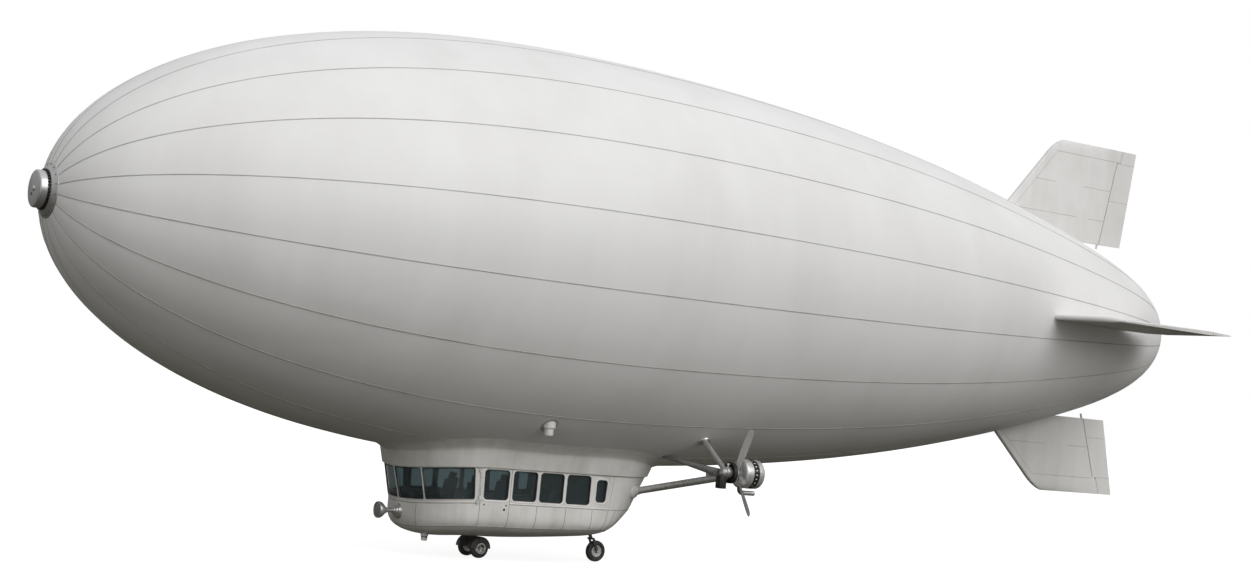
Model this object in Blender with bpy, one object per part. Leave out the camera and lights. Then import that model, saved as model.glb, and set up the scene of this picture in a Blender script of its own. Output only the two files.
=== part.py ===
"""Non-rigid airship, full size: gas envelope, tail, gondola, landing gear and two outrigger engines.

The ship is laid out in stations: x runs aft from the nose of the envelope, y to starboard and z up
from the envelope's axis. The finished model stands on its wheels with its origin on the ground, under
the middle of its length. All sizes are in metres.
"""
import bmesh
import bpy
import math
from mathutils import Vector

# Driving dimensions
LENGTH = 39.0            # envelope, nose to tail
AXIS_HEIGHT = 8.40       # envelope axis above the ground
NOSE_REACH = 0.31        # what the nose fitting adds ahead of the envelope
SHELL = 0.010            # envelope wall
GAP = 0.0003             # between pieces that touch
MIDDLE = (LENGTH - NOSE_REACH) / 2
FULLNESS = (0.3667, 0.3393, 0.3363, 0.2066, 0.3506, 0.1641, 0.2659)   # envelope profile, nose to tail
HULL_SIDES = 36          # two facets to each of the 18 gores
HULL_STATIONS = 34

for old in list(bpy.data.objects):
    bpy.data.objects.remove(old, do_unlink=True)


# Materials
def material(name, color, roughness, metallic=0.0):
    mat = bpy.data.materials.new(name)
    mat.use_nodes = True
    shader = mat.node_tree.nodes["Principled BSDF"]
    shader.inputs["Base Color"].default_value = (*color, 1.0)
    shader.inputs["Roughness"].default_value = roughness
    shader.inputs["Metallic"].default_value = metallic
    return mat


FABRIC = material("envelope fabric", (0.80, 0.79, 0.77), 0.45)
FIN_SKIN = material("fin fabric", (0.74, 0.73, 0.70), 0.5)
PANEL = material("painted panel", (0.66, 0.65, 0.62), 0.4, 0.1)
GLASS = material("tinted glass", (0.05, 0.14, 0.15), 0.08)
STEEL = material("satin steel", (0.62, 0.61, 0.59), 0.35, 0.8)
DARK = material("dark metal", (0.10, 0.10, 0.10), 0.5, 0.4)
RUBBER = material("tyre rubber", (0.03, 0.03, 0.03), 0.8)
BLADE = material("propeller paint", (0.45, 0.44, 0.42), 0.45, 0.2)
CLOTH = material("seat cloth", (0.10, 0.12, 0.12), 0.9)
TRIM = material("cabin trim", (0.25, 0.25, 0.24), 0.8)


# Making and placing pieces
def to_world(x, y, z):
    return Vector((x - MIDDLE, y, z + AXIS_HEIGHT))


def add(name, bm, mat, pivot=None):
    """Put a mesh drawn in stations into the model, with its origin at the pivot (in stations)."""
    home = to_world(*pivot) if pivot else Vector((0.0, 0.0, 0.0))
    bmesh.ops.translate(bm, verts=bm.verts, vec=to_world(0.0, 0.0, 0.0) - home)
    bmesh.ops.recalc_face_normals(bm, faces=bm.faces)
    mesh = bpy.data.meshes.new(name)
    bm.to_mesh(mesh)
    bm.free()
    mesh.materials.append(mat)
    mesh.shade_smooth()
    mesh.set_sharp_from_angle(angle=math.radians(35))
    obj = bpy.data.objects.new(name, mesh)
    obj.location = home
    bpy.context.scene.collection.objects.link(obj)
    return obj


def cutter(name, bm):
    obj = add(name, bm, DARK)
    obj.hide_render = True
    obj.display_type = 'WIRE'
    return obj


def boolean(obj, tool, operation='DIFFERENCE'):
    step = obj.modifiers.new(operation.lower(), 'BOOLEAN')
    step.object = tool
    step.operation = operation
    step.solver = 'EXACT'


# Shapes
def loft(rings, caps=True):
    """Join rings of points; every quad is split the same way, so that matching pieces lie face to face."""
    bm = bmesh.new()
    rows = [[bm.verts.new(p) for p in ring] for ring in rings]
    count = len(rows[0])
    for a, b in zip(rows, rows[1:]):
        for i in range(count):
            j = (i + 1) % count
            bm.faces.new((a[i], a[j], b[j]))
            bm.faces.new((a[i], b[j], b[i]))
    if caps:
        bm.faces.new(rows[0])
        bm.faces.new(rows[-1])
    else:
        for i in range(count):
            j = (i + 1) % count
            bm.faces.new((rows[-1][i], rows[-1][j], rows[0][j], rows[0][i]))
    return bm


def frame_along(axis):
    """Two directions square to an axis."""
    axis = Vector(axis).normalized()
    side = Vector((0, 0, 1)) if abs(axis.z) < 0.9 else Vector((1, 0, 0))
    u = axis.cross(side).normalized()
    return axis, u, axis.cross(u)


def turned(profile, origin, axis, sides=24, sweep=360.0, start=0.0):
    """Turn a closed outline of (distance along the axis, radius) points about the axis."""
    axis, u, v = frame_along(axis)
    origin = Vector(origin)
    full = sweep >= 360.0
    steps = sides if full else sides + 1
    bm = bmesh.new()
    rows = []
    for k in range(steps):
        angle = math.radians(start + sweep * k / sides)
        out = u * math.cos(angle) + v * math.sin(angle)
        rows.append([origin + axis * h + out * r for h, r in profile])
    on_axis = [bm.verts.new(rows[0][i]) if profile[i][1] == 0.0 else None for i in range(len(profile))]
    grid = [[on_axis[i] or bm.verts.new(p) for i, p in enumerate(row)] for row in rows]
    pairs = list(zip(grid, grid[1:])) + ([(grid[-1], grid[0])] if full else [])
    for a, b in pairs:
        for i in range(len(profile)):
            j = (i + 1) % len(profile)
            corners = []
            for corner in (a[i], a[j], b[j], b[i]):
                if corner not in corners:
                    corners.append(corner)
            if len(corners) > 2:
                bm.faces.new(corners)
    if not full:
        bm.faces.new(grid[0])
        bm.faces.new(grid[-1])
    return bm


def rod(a, b, radius, sides=16):
    a, b = Vector(a), Vector(b)
    reach = (b - a).length
    return turned([(0, 0), (0, radius), (reach, radius), (reach, 0)], a, b - a, sides)


def sleeve(a, b, radius, sides=16):
    """The space a round bar takes up with the gap round it and past its ends."""
    a, b = Vector(a), Vector(b)
    past = (b - a).normalized() * 0.001
    return rod(a - past, b + past, radius + 2 * GAP, sides)


def pipe(route, radius, sides=12):
    """A round bar swept along a route of points, mitred at each bend."""
    route = [Vector(p) for p in route]
    rings = []
    for i, p in enumerate(route):
        into = (p - route[i - 1]).normalized() if i else (route[1] - p).normalized()
        out = (route[i + 1] - p).normalized() if i < len(route) - 1 else into
        along, u, v = frame_along(into)
        plane = (into + out).normalized()
        ring = []
        for k in range(sides):
            angle = 2 * math.pi * k / sides
            q = p + (u * math.cos(angle) + v * math.sin(angle)) * radius
            ring.append(q - along * ((q - p).dot(plane) / along.dot(plane)))
        rings.append(ring)
    return loft(rings)


def block(low, high):
    x0, y0, z0 = low
    x1, y1, z1 = high
    flat = ((x0, y0), (x1, y0), (x1, y1), (x0, y1))
    return loft([[(x, y, z) for x, y in flat] for z in (z0, z1)])


def slab(outline, place):
    """A plate from an outline; place turns an outline point and a side (0 or 1) into a position."""
    return loft([[place(p, side) for p in outline] for side in (0, 1)])


# Envelope
def hull_radius(x):
    t = min(max(x / LENGTH, 0.0), 1.0)
    full = sum(c * math.comb(6, i) * t ** i * (1 - t) ** (6 - i) for i, c in enumerate(FULLNESS))
    return LENGTH * math.sqrt(t * (1 - t)) * full


NOSE_HOLE = 0.028        # share of the half turn at which the envelope ends under the nose flange
TAIL_END = 0.995
HULL_SHARES = [NOSE_HOLE + (TAIL_END - NOSE_HOLE) * k / HULL_STATIONS for k in range(HULL_STATIONS + 1)]


def hull_rings(offset, shares=HULL_SHARES):
    """Rings round the envelope, closer together at the ends, moved out by the offset."""
    rings = []
    for share in shares:
        x = LENGTH * (1 - math.cos(math.pi * share)) / 2
        slope = (hull_radius(x + 0.002) - hull_radius(x - 0.002)) / 0.004
        lean = math.hypot(1.0, slope)
        x_out, r = x - offset * slope / lean, hull_radius(x) + offset / lean
        ring = []
        for i in range(HULL_SIDES):
            angle = 2 * math.pi * i / HULL_SIDES
            ring.append((x_out, r * math.cos(angle), r * math.sin(angle)))
        rings.append(ring)
    return rings


add("envelope", loft(hull_rings(-SHELL)[::-1] + hull_rings(0.0)), FABRIC)
hull_tool = cutter("guide_hull", loft(hull_rings(2 * GAP, [0.004] + HULL_SHARES)))


# Nose fitting: flange ring, toothed ring and cap, all turned on the envelope's axis
FLANGE_RADIUS = 0.70
CAP_RADIUS = 0.46
TOOTH_ROOT = 0.475
TOOTH_TIP = 0.505
TEETH = 24
nose = (0.0, 0.0, 0.0)
flange = turned([(0.30, 0.0), (0.30, 0.40), (0.16, FLANGE_RADIUS), (0.10, FLANGE_RADIUS + 0.005),
                 (0.07, FLANGE_RADIUS - 0.02), (-0.01, 0.53), (-0.03, 0.50), (-0.03, 0.0)], nose, (1, 0, 0), 36)
boolean(add("nose_flange", flange, STEEL), hull_tool)
ring = []
for i in range(TEETH):
    for share, r in ((0.0, TOOTH_ROOT), (0.45, TOOTH_ROOT), (0.55, TOOTH_TIP), (0.9, TOOTH_TIP)):
        angle = 2 * math.pi * (i + share) / TEETH
        ring.append((r * math.cos(angle), r * math.sin(angle)))
add("nose_toothed_ring", slab(ring, lambda p, side: (-0.0303 - 0.055 * side, *p)), DARK)
cap = turned([(-0.0856, 0.0), (-0.0856, CAP_RADIUS), (-0.25, CAP_RADIUS), (-0.275, CAP_RADIUS - 0.03),
              (-0.275, 0.07), (-0.31, 0.05), (-0.31, 0.0)], nose, (1, 0, 0), 32)
add("nose_cap", cap, STEEL)


# Tail: each surface is one tapered section, split at the hinge line into a fixed fin and a flap
ROD_RADIUS = 0.035       # hinge tube
ROD_PLAY = 0.0008        # between the tube and the flap that turns on it
FLAP_AFT = 0.030         # flap's front edge behind the hinge axis
FIN_AHEAD = 0.010        # fin's rear edge ahead of it
FLAP_SIDE = 0.02         # gap at the flap's ends
HORN_STEP = 0.17         # past the hinge tube's end, the flap's corner starts this far behind the axis
LE_HALF = 0.085          # half thickness at the leading edge's round, at the root
HINGE_HALF = 0.058
TRAIL_HALF = 0.012
FINS = (
    # name, flap, sign, upright, lead root (x, s), lead tip, hinge in, hinge out, trail in, trail out
    ("fin_top", "rudder_top", 1, True, (31.10, 2.95), (33.98, 6.24),
     (36.23, 2.82), (36.86, 5.83), (37.30, 2.64), (37.80, 6.14)),
    ("fin_bottom", "rudder_bottom", -1, True, (31.40, 2.95), (34.24, 5.46),
     (36.14, 2.82), (36.88, 4.93), (37.17, 2.74), (37.82, 5.20)),
    ("fin_port", "elevator_port", -1, False, (30.10, 3.00), (31.04, 5.88),
     (35.66, 3.10), (35.36, 5.52), (36.66, 3.10), (36.34, 5.88)),
    ("fin_starboard", "elevator_starboard", 1, False, (30.10, 3.00), (31.04, 5.88),
     (35.66, 3.10), (35.36, 5.52), (36.66, 3.10), (36.34, 5.88)),
)


def along(a, b, s):
    """x on the line through two (x, s) points at span s."""
    return a[0] + (b[0] - a[0]) * (s - a[1]) / (b[1] - a[1])


def fin_section(lead, trail, hinge, s, round_half, place):
    """One closed section at span s: round leading edge, flat sides to the hinge, fine trailing edge."""
    upper = []
    for k in range(5):
        angle = math.pi / 2 * k / 4
        upper.append((lead + round_half * (1 - math.cos(angle)), round_half * math.sin(angle)))
    upper.append((hinge, HINGE_HALF))
    upper.append((trail, TRAIL_HALF))
    lower = [(x, -t) for x, t in upper[:0:-1]]
    return [place(x, s, t) for x, t in upper + lower]


def surface_place(sign, upright):
    if upright:
        return lambda x, s, t: (x, t, sign * s)
    return lambda x, s, t: (x, sign * s, t)


for name, flap, sign, upright, lead_in, lead_out, h_in, h_out, t_in, t_out in FINS:
    place = surface_place(sign, upright)
    span = lead_out[1]
    corner = 0.42        # the leading edge rounds into the tip over this much span
    stops = [lead_in[1], span - corner]
    stops += [span - corner * (1 - math.sin(math.pi / 2 * k / 5)) for k in (1, 2, 3, 4)]
    stops += [span - 0.004]
    rings = []
    for s in stops:
        reach = max(0.0, (s - (span - corner)) / corner)
        swept = 0.75 * corner * (1 - math.sqrt(max(0.0, 1 - reach ** 2)))
        lead = along(lead_in, lead_out, s) + swept
        edge = LE_HALF * (1.0 if reach == 0 else max(0.35, math.sqrt(max(0.0, 1 - reach ** 4))))
        trail = along(t_in, t_out, s)
        rings.append(fin_section(lead, trail, along(h_in, h_out, s), s, edge, place))
    fixed_bm = loft(rings)
    moving_bm = loft(rings)

    def region(ahead, ends, thick=0.4):
        """Prism over the flap in plan, grown ahead of the hinge axis and at its ends."""
        s_in, s_out = h_in[1] - ends, h_out[1] + ends
        past = span + 0.3
        plan = [(along(h_in, h_out, s_in) + ahead, s_in), (along(h_in, h_out, s_out) + ahead, s_out),
                (along(h_in, h_out, s_out) + HORN_STEP - ends, s_out),
                (along(h_in, h_out, past) + HORN_STEP - ends, past), (39.0, past), (39.0, s_in)]
        return slab(plan, lambda p, side: place(p[0], p[1], thick * (side - 0.5)))

    axis_in = Vector(place(h_in[0], h_in[1], 0.0))
    axis_out = Vector(place(h_out[0], h_out[1], 0.0))
    lean = (axis_out - axis_in).normalized()
    groove = cutter("guide_groove_" + flap, rod(axis_in - lean * 0.4, axis_out + lean * (FLAP_SIDE * 0.5),
                                                ROD_RADIUS + ROD_PLAY, 32))
    fixed = add(name, fixed_bm, FIN_SKIN)
    boolean(fixed, hull_tool)
    boolean(fixed, cutter("guide_fixed_" + flap, region(-FIN_AHEAD, FLAP_SIDE / 2)))
    tube = rod(axis_in - lean * 0.02, axis_out + lean * (FLAP_SIDE * 0.5 + 0.02), ROD_RADIUS, 32)
    boolean(fixed, cutter("guide_tube_" + flap, tube), 'UNION')
    moving = add(flap, moving_bm, FIN_SKIN, (h_in[0], axis_in.y, axis_in.z))
    boolean(moving, cutter("guide_flap_" + flap, region(FLAP_AFT, -FLAP_SIDE / 2)), 'INTERSECT')
    boolean(moving, groove)


# Relief valve on the port underside
VALVE = (12.86, -3.34)
VALVE_FOOT = -4.86
valve = turned([(VALVE_FOOT, 0.0), (VALVE_FOOT, 0.115), (VALVE_FOOT + 0.03, 0.125), (-4.66, 0.125),
                (-4.66, 0.17), (-4.30, 0.17), (-4.30, 0.0)], (*VALVE, 0.0), (0, 0, 1), 20)
boolean(add("relief_valve", valve, STEEL), hull_tool)


# Gondola: every wall lies on one body, given by its plan outline at each height
NOSE_START = 12.10       # the flat sides run between these stations
TAIL_START = 15.50
WALL = 0.060
SHEER = 0.19             # the window line drops this much round the nose
FACET = 90 / 8           # turn taken by one facet round the nose and the tail
ROOF = -5.86
BELT = -6.80
CHINE = -7.43
LEVELS = (
    # height, nose, tail, half width
    (ROOF, 10.22, 18.05, 2.05),
    (BELT, 10.48, 17.50, 2.04),
    (-7.10, 10.50, 17.21, 2.02),
    (-7.28, 10.55, 17.00, 1.97),
    (CHINE, 10.66, 16.78, 1.87),
    (-7.58, 10.85, 16.45, 1.70),
    (-7.70, 11.10, 16.10, 1.46),
    (-7.77, 11.45, 15.80, 1.20),
    (-7.80, 11.80, 15.60, 0.85),
)


def level(z):
    rows = LEVELS
    if z >= rows[0][0]:
        return rows[0][1:]
    for a, b in zip(rows, rows[1:]):
        if z >= b[0]:
            share = (z - a[0]) / (b[0] - a[0])
            return tuple(p + (q - p) * share for p, q in zip(a[1:], b[1:]))
    return rows[-1][1:]


def plan_point(turn, x, z, out=0.0):
    """A point of the plan outline at a height, for the starboard half.

    turn is the angle from the nose (0 to 90), or from the side to the tail (90 to 180); x places a point
    on the flat side instead. The way out is taken at the belt for every height, so that seams are flat.
    """
    nose_x, tail_x, half = level(z)
    belt_nose, belt_tail, belt_half = level(BELT)
    if x is not None:
        return Vector((x, half + out))
    if turn <= 90:
        depth, belt_depth, base, facing = NOSE_START - nose_x, NOSE_START - belt_nose, NOSE_START, -1
    else:
        depth, belt_depth, base, facing = tail_x - TAIL_START, belt_tail - TAIL_START, TAIL_START, 1
    c, s = abs(math.cos(math.radians(turn))), math.sin(math.radians(turn))
    normal = Vector((facing * c / belt_depth, s / belt_half)).normalized()
    return Vector((base + facing * depth * c, half * s)) + normal * out


# Distance along the belt from the nose's centre, starboard positive: arcs are stepped off once
ARC_STEPS = 96


def arc_table(turns):
    points = [plan_point(t, None, BELT) for t in turns]
    lengths = [0.0]
    for a, b in zip(points, points[1:]):
        lengths.append(lengths[-1] + (b - a).length)
    return lengths


NOSE_ARC = arc_table([90 * k / ARC_STEPS for k in range(ARC_STEPS + 1)])
TAIL_ARC = arc_table([90 + 90 * k / ARC_STEPS for k in range(ARC_STEPS + 1)])
S_SIDE = NOSE_ARC[-1]
S_TAIL = S_SIDE + TAIL_START - NOSE_START
S_END = S_TAIL + TAIL_ARC[-1]


def turn_at(arc, distance, first):
    for k in range(ARC_STEPS):
        if distance <= arc[k + 1]:
            return first + 90 * (k + (distance - arc[k]) / (arc[k + 1] - arc[k])) / ARC_STEPS
    return first + 90.0


def station(x):
    """Distance along the belt of the side point at station x."""
    if x >= NOSE_START:
        return S_SIDE + x - NOSE_START
    turn = math.degrees(math.acos((NOSE_START - x) / (NOSE_START - level(BELT)[0])))
    k = turn / 90 * ARC_STEPS
    low = int(k)
    return NOSE_ARC[low] + (NOSE_ARC[low + 1] - NOSE_ARC[low]) * (k - low)


def drop(turn, z):
    """How far the nose's lines drop below the side's."""
    if turn >= 90:
        return 0.0
    fade = 1.0 if z >= BELT else max(0.0, 1 - (BELT - z) / (BELT + 7.80))
    cell = math.floor(turn / FACET)
    near, far = (math.cos(math.radians(FACET * k)) ** 2 for k in (cell, cell + 1))
    return SHEER * fade * (near + (far - near) * (turn / FACET - cell))


def skin_corner(s, z, depth):
    """The gondola's true surface: distance s from the nose's centre (port negative), height, depth inward."""
    side = -1 if s < 0 else 1
    s = abs(s)
    turn, x = 90.0, None
    if s < S_SIDE:
        turn = turn_at(NOSE_ARC, s, 0)
    elif s > S_TAIL:
        turn = turn_at(TAIL_ARC, min(s, S_END) - S_TAIL, 90)
    else:
        x = NOSE_START + s - S_SIDE
    p = plan_point(turn, x, z, -depth)
    return Vector((p.x, side * p.y, z - drop(turn, z)))


NOSE_CUTS = [NOSE_ARC[ARC_STEPS * k // 8] for k in range(9)]
TAIL_CUTS = [S_TAIL + TAIL_ARC[ARC_STEPS * k // 8] for k in range(9)]
CUTS = sorted({c * side for c in NOSE_CUTS + TAIL_CUTS for side in (-1, 1)})


def bracket(value, marks):
    """The pair of neighbouring marks round a value; marks rise."""
    for low, high in zip(marks, marks[1:]):
        if value <= high:
            return low, high
    return marks[-2], marks[-1]


def skin(s, z, depth=0.0):
    """The faceted surface: each cell between two cuts and two levels is a pair of flat triangles."""
    c0, c1 = bracket(s, CUTS)
    low, high = bracket(z, [row[0] for row in LEVELS[::-1]])
    p, q = (s - c0) / (c1 - c0), (high - z) / (high - low)
    a, c = skin_corner(c0, high, depth), skin_corner(c1, low, depth)
    if p >= q:
        b = skin_corner(c1, high, depth)
        return a + (b - a) * p + (c - b) * q
    d = skin_corner(c0, low, depth)
    return a + (d - a) * q + (c - d) * p


def rounded(s0, s1, z0, z1, radius, steps=4):
    """A window's outline with round corners."""
    points = []
    for cs, cz, first in ((s1 - radius, z1 - radius, 0), (s0 + radius, z1 - radius, 90),
                          (s0 + radius, z0 + radius, 180), (s1 - radius, z0 + radius, 270)):
        for k in range(steps + 1):
            angle = math.radians(first + 90 * k / steps)
            points.append((cs + radius * math.cos(angle), cz + radius * math.sin(angle)))
    return points


def split_cell(flat, c0, c1, high, low):
    """Cut the faces of one cell along its diagonal, so that they stay flat when the panel is bent."""
    near = 0.0001
    faces = [f for f in flat.faces if all(c0 - near < v.co.x < c1 + near and low - near < v.co.z < high + near
                                          for v in f.verts)]
    if faces:
        geom = {g for f in faces for g in (*f.verts, *f.edges, f)}
        bmesh.ops.bisect_plane(flat, geom=list(geom), plane_co=(c0, 0, high), plane_no=(high - low, 0, c1 - c0))


def panel(s0, s1, z0, z1, holes=(), shallow=0.0, deep=WALL, inset=GAP / 2):
    """A curved wall panel: drawn flat with its holes, given its thickness, then bent onto the skin."""
    flat = bmesh.new()
    s0, s1, z0, z1 = s0 + inset, s1 - inset, z0 + inset, z1 - inset
    edges = []
    for loop in [[(s0, z0), (s1, z0), (s1, z1), (s0, z1)]] + list(holes):
        corners = [flat.verts.new((s, shallow, z)) for s, z in loop]
        for a, b in zip(corners, corners[1:] + corners[:1]):
            edges.append(flat.edges.new((a, b)))
    bmesh.ops.triangle_fill(flat, use_beauty=True, edges=edges)
    grown = bmesh.ops.extrude_face_region(flat, geom=flat.faces[:])
    moved = [g for g in grown["geom"] if isinstance(g, bmesh.types.BMVert)]
    bmesh.ops.translate(flat, verts=moved, vec=(0, deep - shallow, 0))
    for at in CUTS:
        if s0 + 0.002 < at < s1 - 0.002:
            bmesh.ops.bisect_plane(flat, geom=flat.verts[:] + flat.edges[:] + flat.faces[:],
                                   plane_co=(at, 0, 0), plane_no=(1, 0, 0))
    for row in LEVELS:
        if z0 + 0.002 < row[0] < z1 - 0.002:
            bmesh.ops.bisect_plane(flat, geom=flat.verts[:] + flat.edges[:] + flat.faces[:],
                                   plane_co=(0, 0, row[0]), plane_no=(0, 0, 1))
    for c0, c1 in zip(CUTS, CUTS[1:]):
        for upper, lower in zip(LEVELS, LEVELS[1:]):
            split_cell(flat, c0, c1, upper[0], lower[0])
    for v in flat.verts:
        v.co = skin(v.co.x, v.co.z, v.co.y)
    bmesh.ops.triangulate(flat, faces=flat.faces[:])
    return flat


def plan_ring(z, out=0.0, sheered=True):
    """The whole outline at a height, as one ring of points."""
    turns = [90 * k / 8 for k in range(8)] + [90.0, 91.0] + [90 + 90 * k / 8 for k in range(1, 9)]
    half = []
    for t in turns:
        if t == 90.0:
            p = plan_point(90, NOSE_START, z, out)
        elif t == 91.0:
            p = plan_point(90, TAIL_START, z, out)
        else:
            p = plan_point(t, None, z, out)
        half.append((p.x, p.y, z - (drop(t, z) if sheered and t < 90 else 0.0)))
    return half + [(x, -y, h) for x, y, h in half[-2:0:-1]]


gondola_tool = cutter("guide_gondola", loft([plan_ring(z, GAP) for z in (-5.5, *[row[0] for row in LEVELS[:-1]])]
                                            + [plan_ring(LEVELS[-1][0] - GAP, 0.0)]))

# Skirt between the envelope and the roof line: rows run down from inside the envelope
SKIRT_ROWS = (
    # moved out from the roof line, share of the way down from the envelope
    (0.46, -0.35), (0.46, 0.04), (0.36, 0.10), (0.20, 0.18), (0.12, 0.30), (0.07, 0.55), (0.04, 1.0),
)


def skirt_ring(out, share, inward=0.0):
    ring = []
    for x, y, z in plan_ring(ROOF + 0.0007, out - inward):
        under = -math.sqrt(max(0.0, hull_radius(x) ** 2 - y ** 2))
        ring.append((x, y, under + (z - under) * share))
    return ring


skirt_rings = [skirt_ring(out, share) for out, share in SKIRT_ROWS]
skirt_rings += [skirt_ring(out, share, WALL + 0.03) for out, share in SKIRT_ROWS[::-1]]
boolean(add("gondola_skirt", loft(skirt_rings, caps=False), PANEL), hull_tool)

# Ceiling, laid on the top edges of the walls inside the skirt
CEILING_TOP = ROOF + 0.035
ceiling = loft([plan_ring(z, 0.008 - WALL, False) for z in (ROOF + GAP, CEILING_TOP)])
add("cabin_ceiling", ceiling, TRIM)

# Walls and windows
SILL = -6.66
HEAD = -5.935
PANE_TOP = ROOF - 0.025
PANE_FOOT = -6.68
DOOR_REAR = 12.670
DOOR_GAP = 0.005
MULLION = 0.030
SIDE_MULLION = 1.05      # distance of the side mullion from the nose's centre
PANE_END = 11.56
WINDOWS = ((11.87, 12.61), (12.73, 13.49), (13.58, 14.34), (14.43, 15.21))
SMALL_WINDOW = (15.40, 15.72)
WINDOW_CORNER = 0.10


def side_window(x0, x1, side, small=False):
    low, high = (SILL + 0.09, HEAD - 0.09) if small else (SILL, HEAD)
    s0, s1 = sorted((side * station(x0), side * station(x1)))
    return rounded(s0, s1, low, high, WINDOW_CORNER)


front_panes = []
for side in (-1, 1):
    for a, b, corner in ((MULLION / 2, SIDE_MULLION - MULLION / 2, 0.03),
                         (SIDE_MULLION + MULLION / 2, station(PANE_END), 0.06)):
        s0, s1 = sorted((side * a, side * b))
        front_panes.append(rounded(s0, s1, PANE_FOOT, PANE_TOP, corner, 2))
s_front, s_rear, s_seam = NOSE_CUTS[-2], station(DOOR_REAR), TAIL_CUTS[1]
half_door_gap = DOOR_GAP / 2
add("windscreen_frame", panel(-s_front + half_door_gap, s_front, BELT, ROOF, front_panes), PANEL)
port_holes = [side_window(a, b, -1) for a, b in WINDOWS[1:]] + [side_window(*SMALL_WINDOW, -1, True)]
add("side_wall_port", panel(-s_seam, -s_rear - half_door_gap, BELT, ROOF, port_holes), PANEL)
star_holes = [side_window(a, b, 1) for a, b in WINDOWS] + [side_window(*SMALL_WINDOW, 1, True)]
add("side_wall_starboard", panel(s_front, s_seam, BELT, ROOF, star_holes), PANEL)


def wall_strip(stops, top, foot):
    """A plain wall panel over signed distances in ring order, its quads split as in a loft."""
    strip = bmesh.new()
    rows = [top - 2 * GAP] + [row[0] for row in LEVELS if foot < row[0] < top] + [foot + GAP / 2]
    grid = {}
    for i, s in enumerate(stops):
        for j, z in enumerate(rows):
            for k, depth in enumerate((0.0, WALL)):
                grid[i, j, k] = strip.verts.new(skin(s, z, depth))
    wide, tall = len(stops) - 1, len(rows) - 1
    for i in range(wide):
        for j in range(tall):
            for k in (0, 1):
                a, b, c, d = grid[i, j, k], grid[i + 1, j, k], grid[i + 1, j + 1, k], grid[i, j + 1, k]
                strip.faces.new((a, b, c))
                strip.faces.new((a, c, d))
        for j in (0, tall):
            strip.faces.new((grid[i, j, 0], grid[i + 1, j, 0], grid[i + 1, j, 1], grid[i, j, 1]))
    for j in range(tall):
        for i in (0, wide):
            strip.faces.new((grid[i, j, 0], grid[i, j + 1, 0], grid[i, j + 1, 1], grid[i, j, 1]))
    return strip


def stops_between(first, last):
    return [first + GAP / 2] + [c for c in CUTS if first + 0.002 < c < last - 0.002] + [last - GAP / 2]


aft = stops_between(s_seam, S_END)[:-1] + [S_END]
tail_stops = aft + [-s for s in aft[-2::-1]]
add("tail_shell", wall_strip(tail_stops, ROOF, CHINE), PANEL)
lower_front = stops_between(-s_front + half_door_gap, s_front)
add("lower_nose", wall_strip(lower_front, BELT, CHINE), PANEL)
add("lower_side_port", wall_strip(stops_between(-s_seam, -s_rear - half_door_gap), BELT, CHINE), PANEL)
add("lower_side_starboard", wall_strip(stops_between(s_front, s_seam), BELT, CHINE), PANEL)

# Belly pan, a dish whose rim carries the walls outside and the floor inside
RIM = CHINE - 0.0007
belly_outer = [plan_ring(RIM)] + [plan_ring(row[0]) for row in LEVELS if row[0] < CHINE]
belly_inner = [plan_ring(RIM, -WALL - 0.06), plan_ring(CHINE - 0.07, -WALL - 0.06)]
belly_inner += [[(x, y, z + WALL) for x, y, z in plan_ring(row[0], -0.05)] for row in LEVELS[6:]]
belly_rows = belly_inner[::-1] + belly_outer
add("belly_pan", loft(belly_rows), PANEL)
FLOOR_TOP = CHINE + 0.045
floor_plan = [(x, y) for x, y, z in plan_ring(CHINE, -WALL - 0.012, False)]
floor = slab(floor_plan, lambda p, side: (*p, CHINE + GAP + (FLOOR_TOP - CHINE - GAP) * side))
add("cabin_floor", floor, TRIM)

# Glazing stands against the inside of each wall
PANE_DEPTH = WALL + GAP
PANE_THICK = 0.012
GLAZING_TOP = ROOF - 0.004
GLAZING_FOOT = SILL - 0.05


def glazing(s0, s1, foot=GLAZING_FOOT, top=GLAZING_TOP, depth=PANE_DEPTH, margin=0.0):
    return panel(s0, s1, foot, top, (), depth, depth + PANE_THICK, margin)


end_pane = station(PANE_END) + 0.04
add("windscreen_glazing", glazing(-end_pane, end_pane, PANE_FOOT - 0.05), GLASS)
add("side_glazing_port", glazing(-s_seam + 0.03, -station(12.715)), GLASS)
add("side_glazing_starboard", glazing(station(11.82), s_seam - 0.03), GLASS)

# Cabin door, hung at its front edge on a rod that two lugs hold off the windscreen frame
HINGE_RADIUS = 0.010
HINGE_OFF = 0.026        # hinge axis outside the skin at the roof line
ARM_HALF = 0.007         # half thickness of a hinge arm
LUGS = ((ROOF - 0.13, ROOF - 0.03), (BELT - 0.02, BELT + 0.08))
KNUCKLES = ((ROOF - 0.25, ROOF - 0.14), (BELT + 0.09, BELT + 0.20))
SWING_GAP = 0.007        # door's rear edge to the wall behind it, all through its swing
hinge_y = -(abs(skin(-s_front, ROOF).y) + HINGE_OFF)
hinge_x = skin(-s_front, ROOF).x
door_pivot = (hinge_x, hinge_y, (ROOF + CHINE) / 2)


def hinge_arm(near, far, reach, low, high):
    """An angled arm from the hinge axis: out to far along x, then inward onto the skin."""
    outline = ((0.0, -ARM_HALF), (far, -ARM_HALF), (far, reach), (near, reach), (near, ARM_HALF), (0.0, ARM_HALF))
    return slab(outline, lambda p, side: (hinge_x + p[0], hinge_y + p[1], low + (high - low) * side))


hinge_line = ((hinge_x, hinge_y, LUGS[1][0]), (hinge_x, hinge_y, LUGS[0][1]))
hinge_rod = add("door_hinge_rod", rod(*hinge_line, HINGE_RADIUS), STEEL)
for k, (low, high) in enumerate(LUGS):
    boolean(hinge_rod, cutter("guide_lug_%d" % k, hinge_arm(-0.02, -0.06, 0.10, low, high)), 'UNION')
boolean(hinge_rod, gondola_tool)

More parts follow.
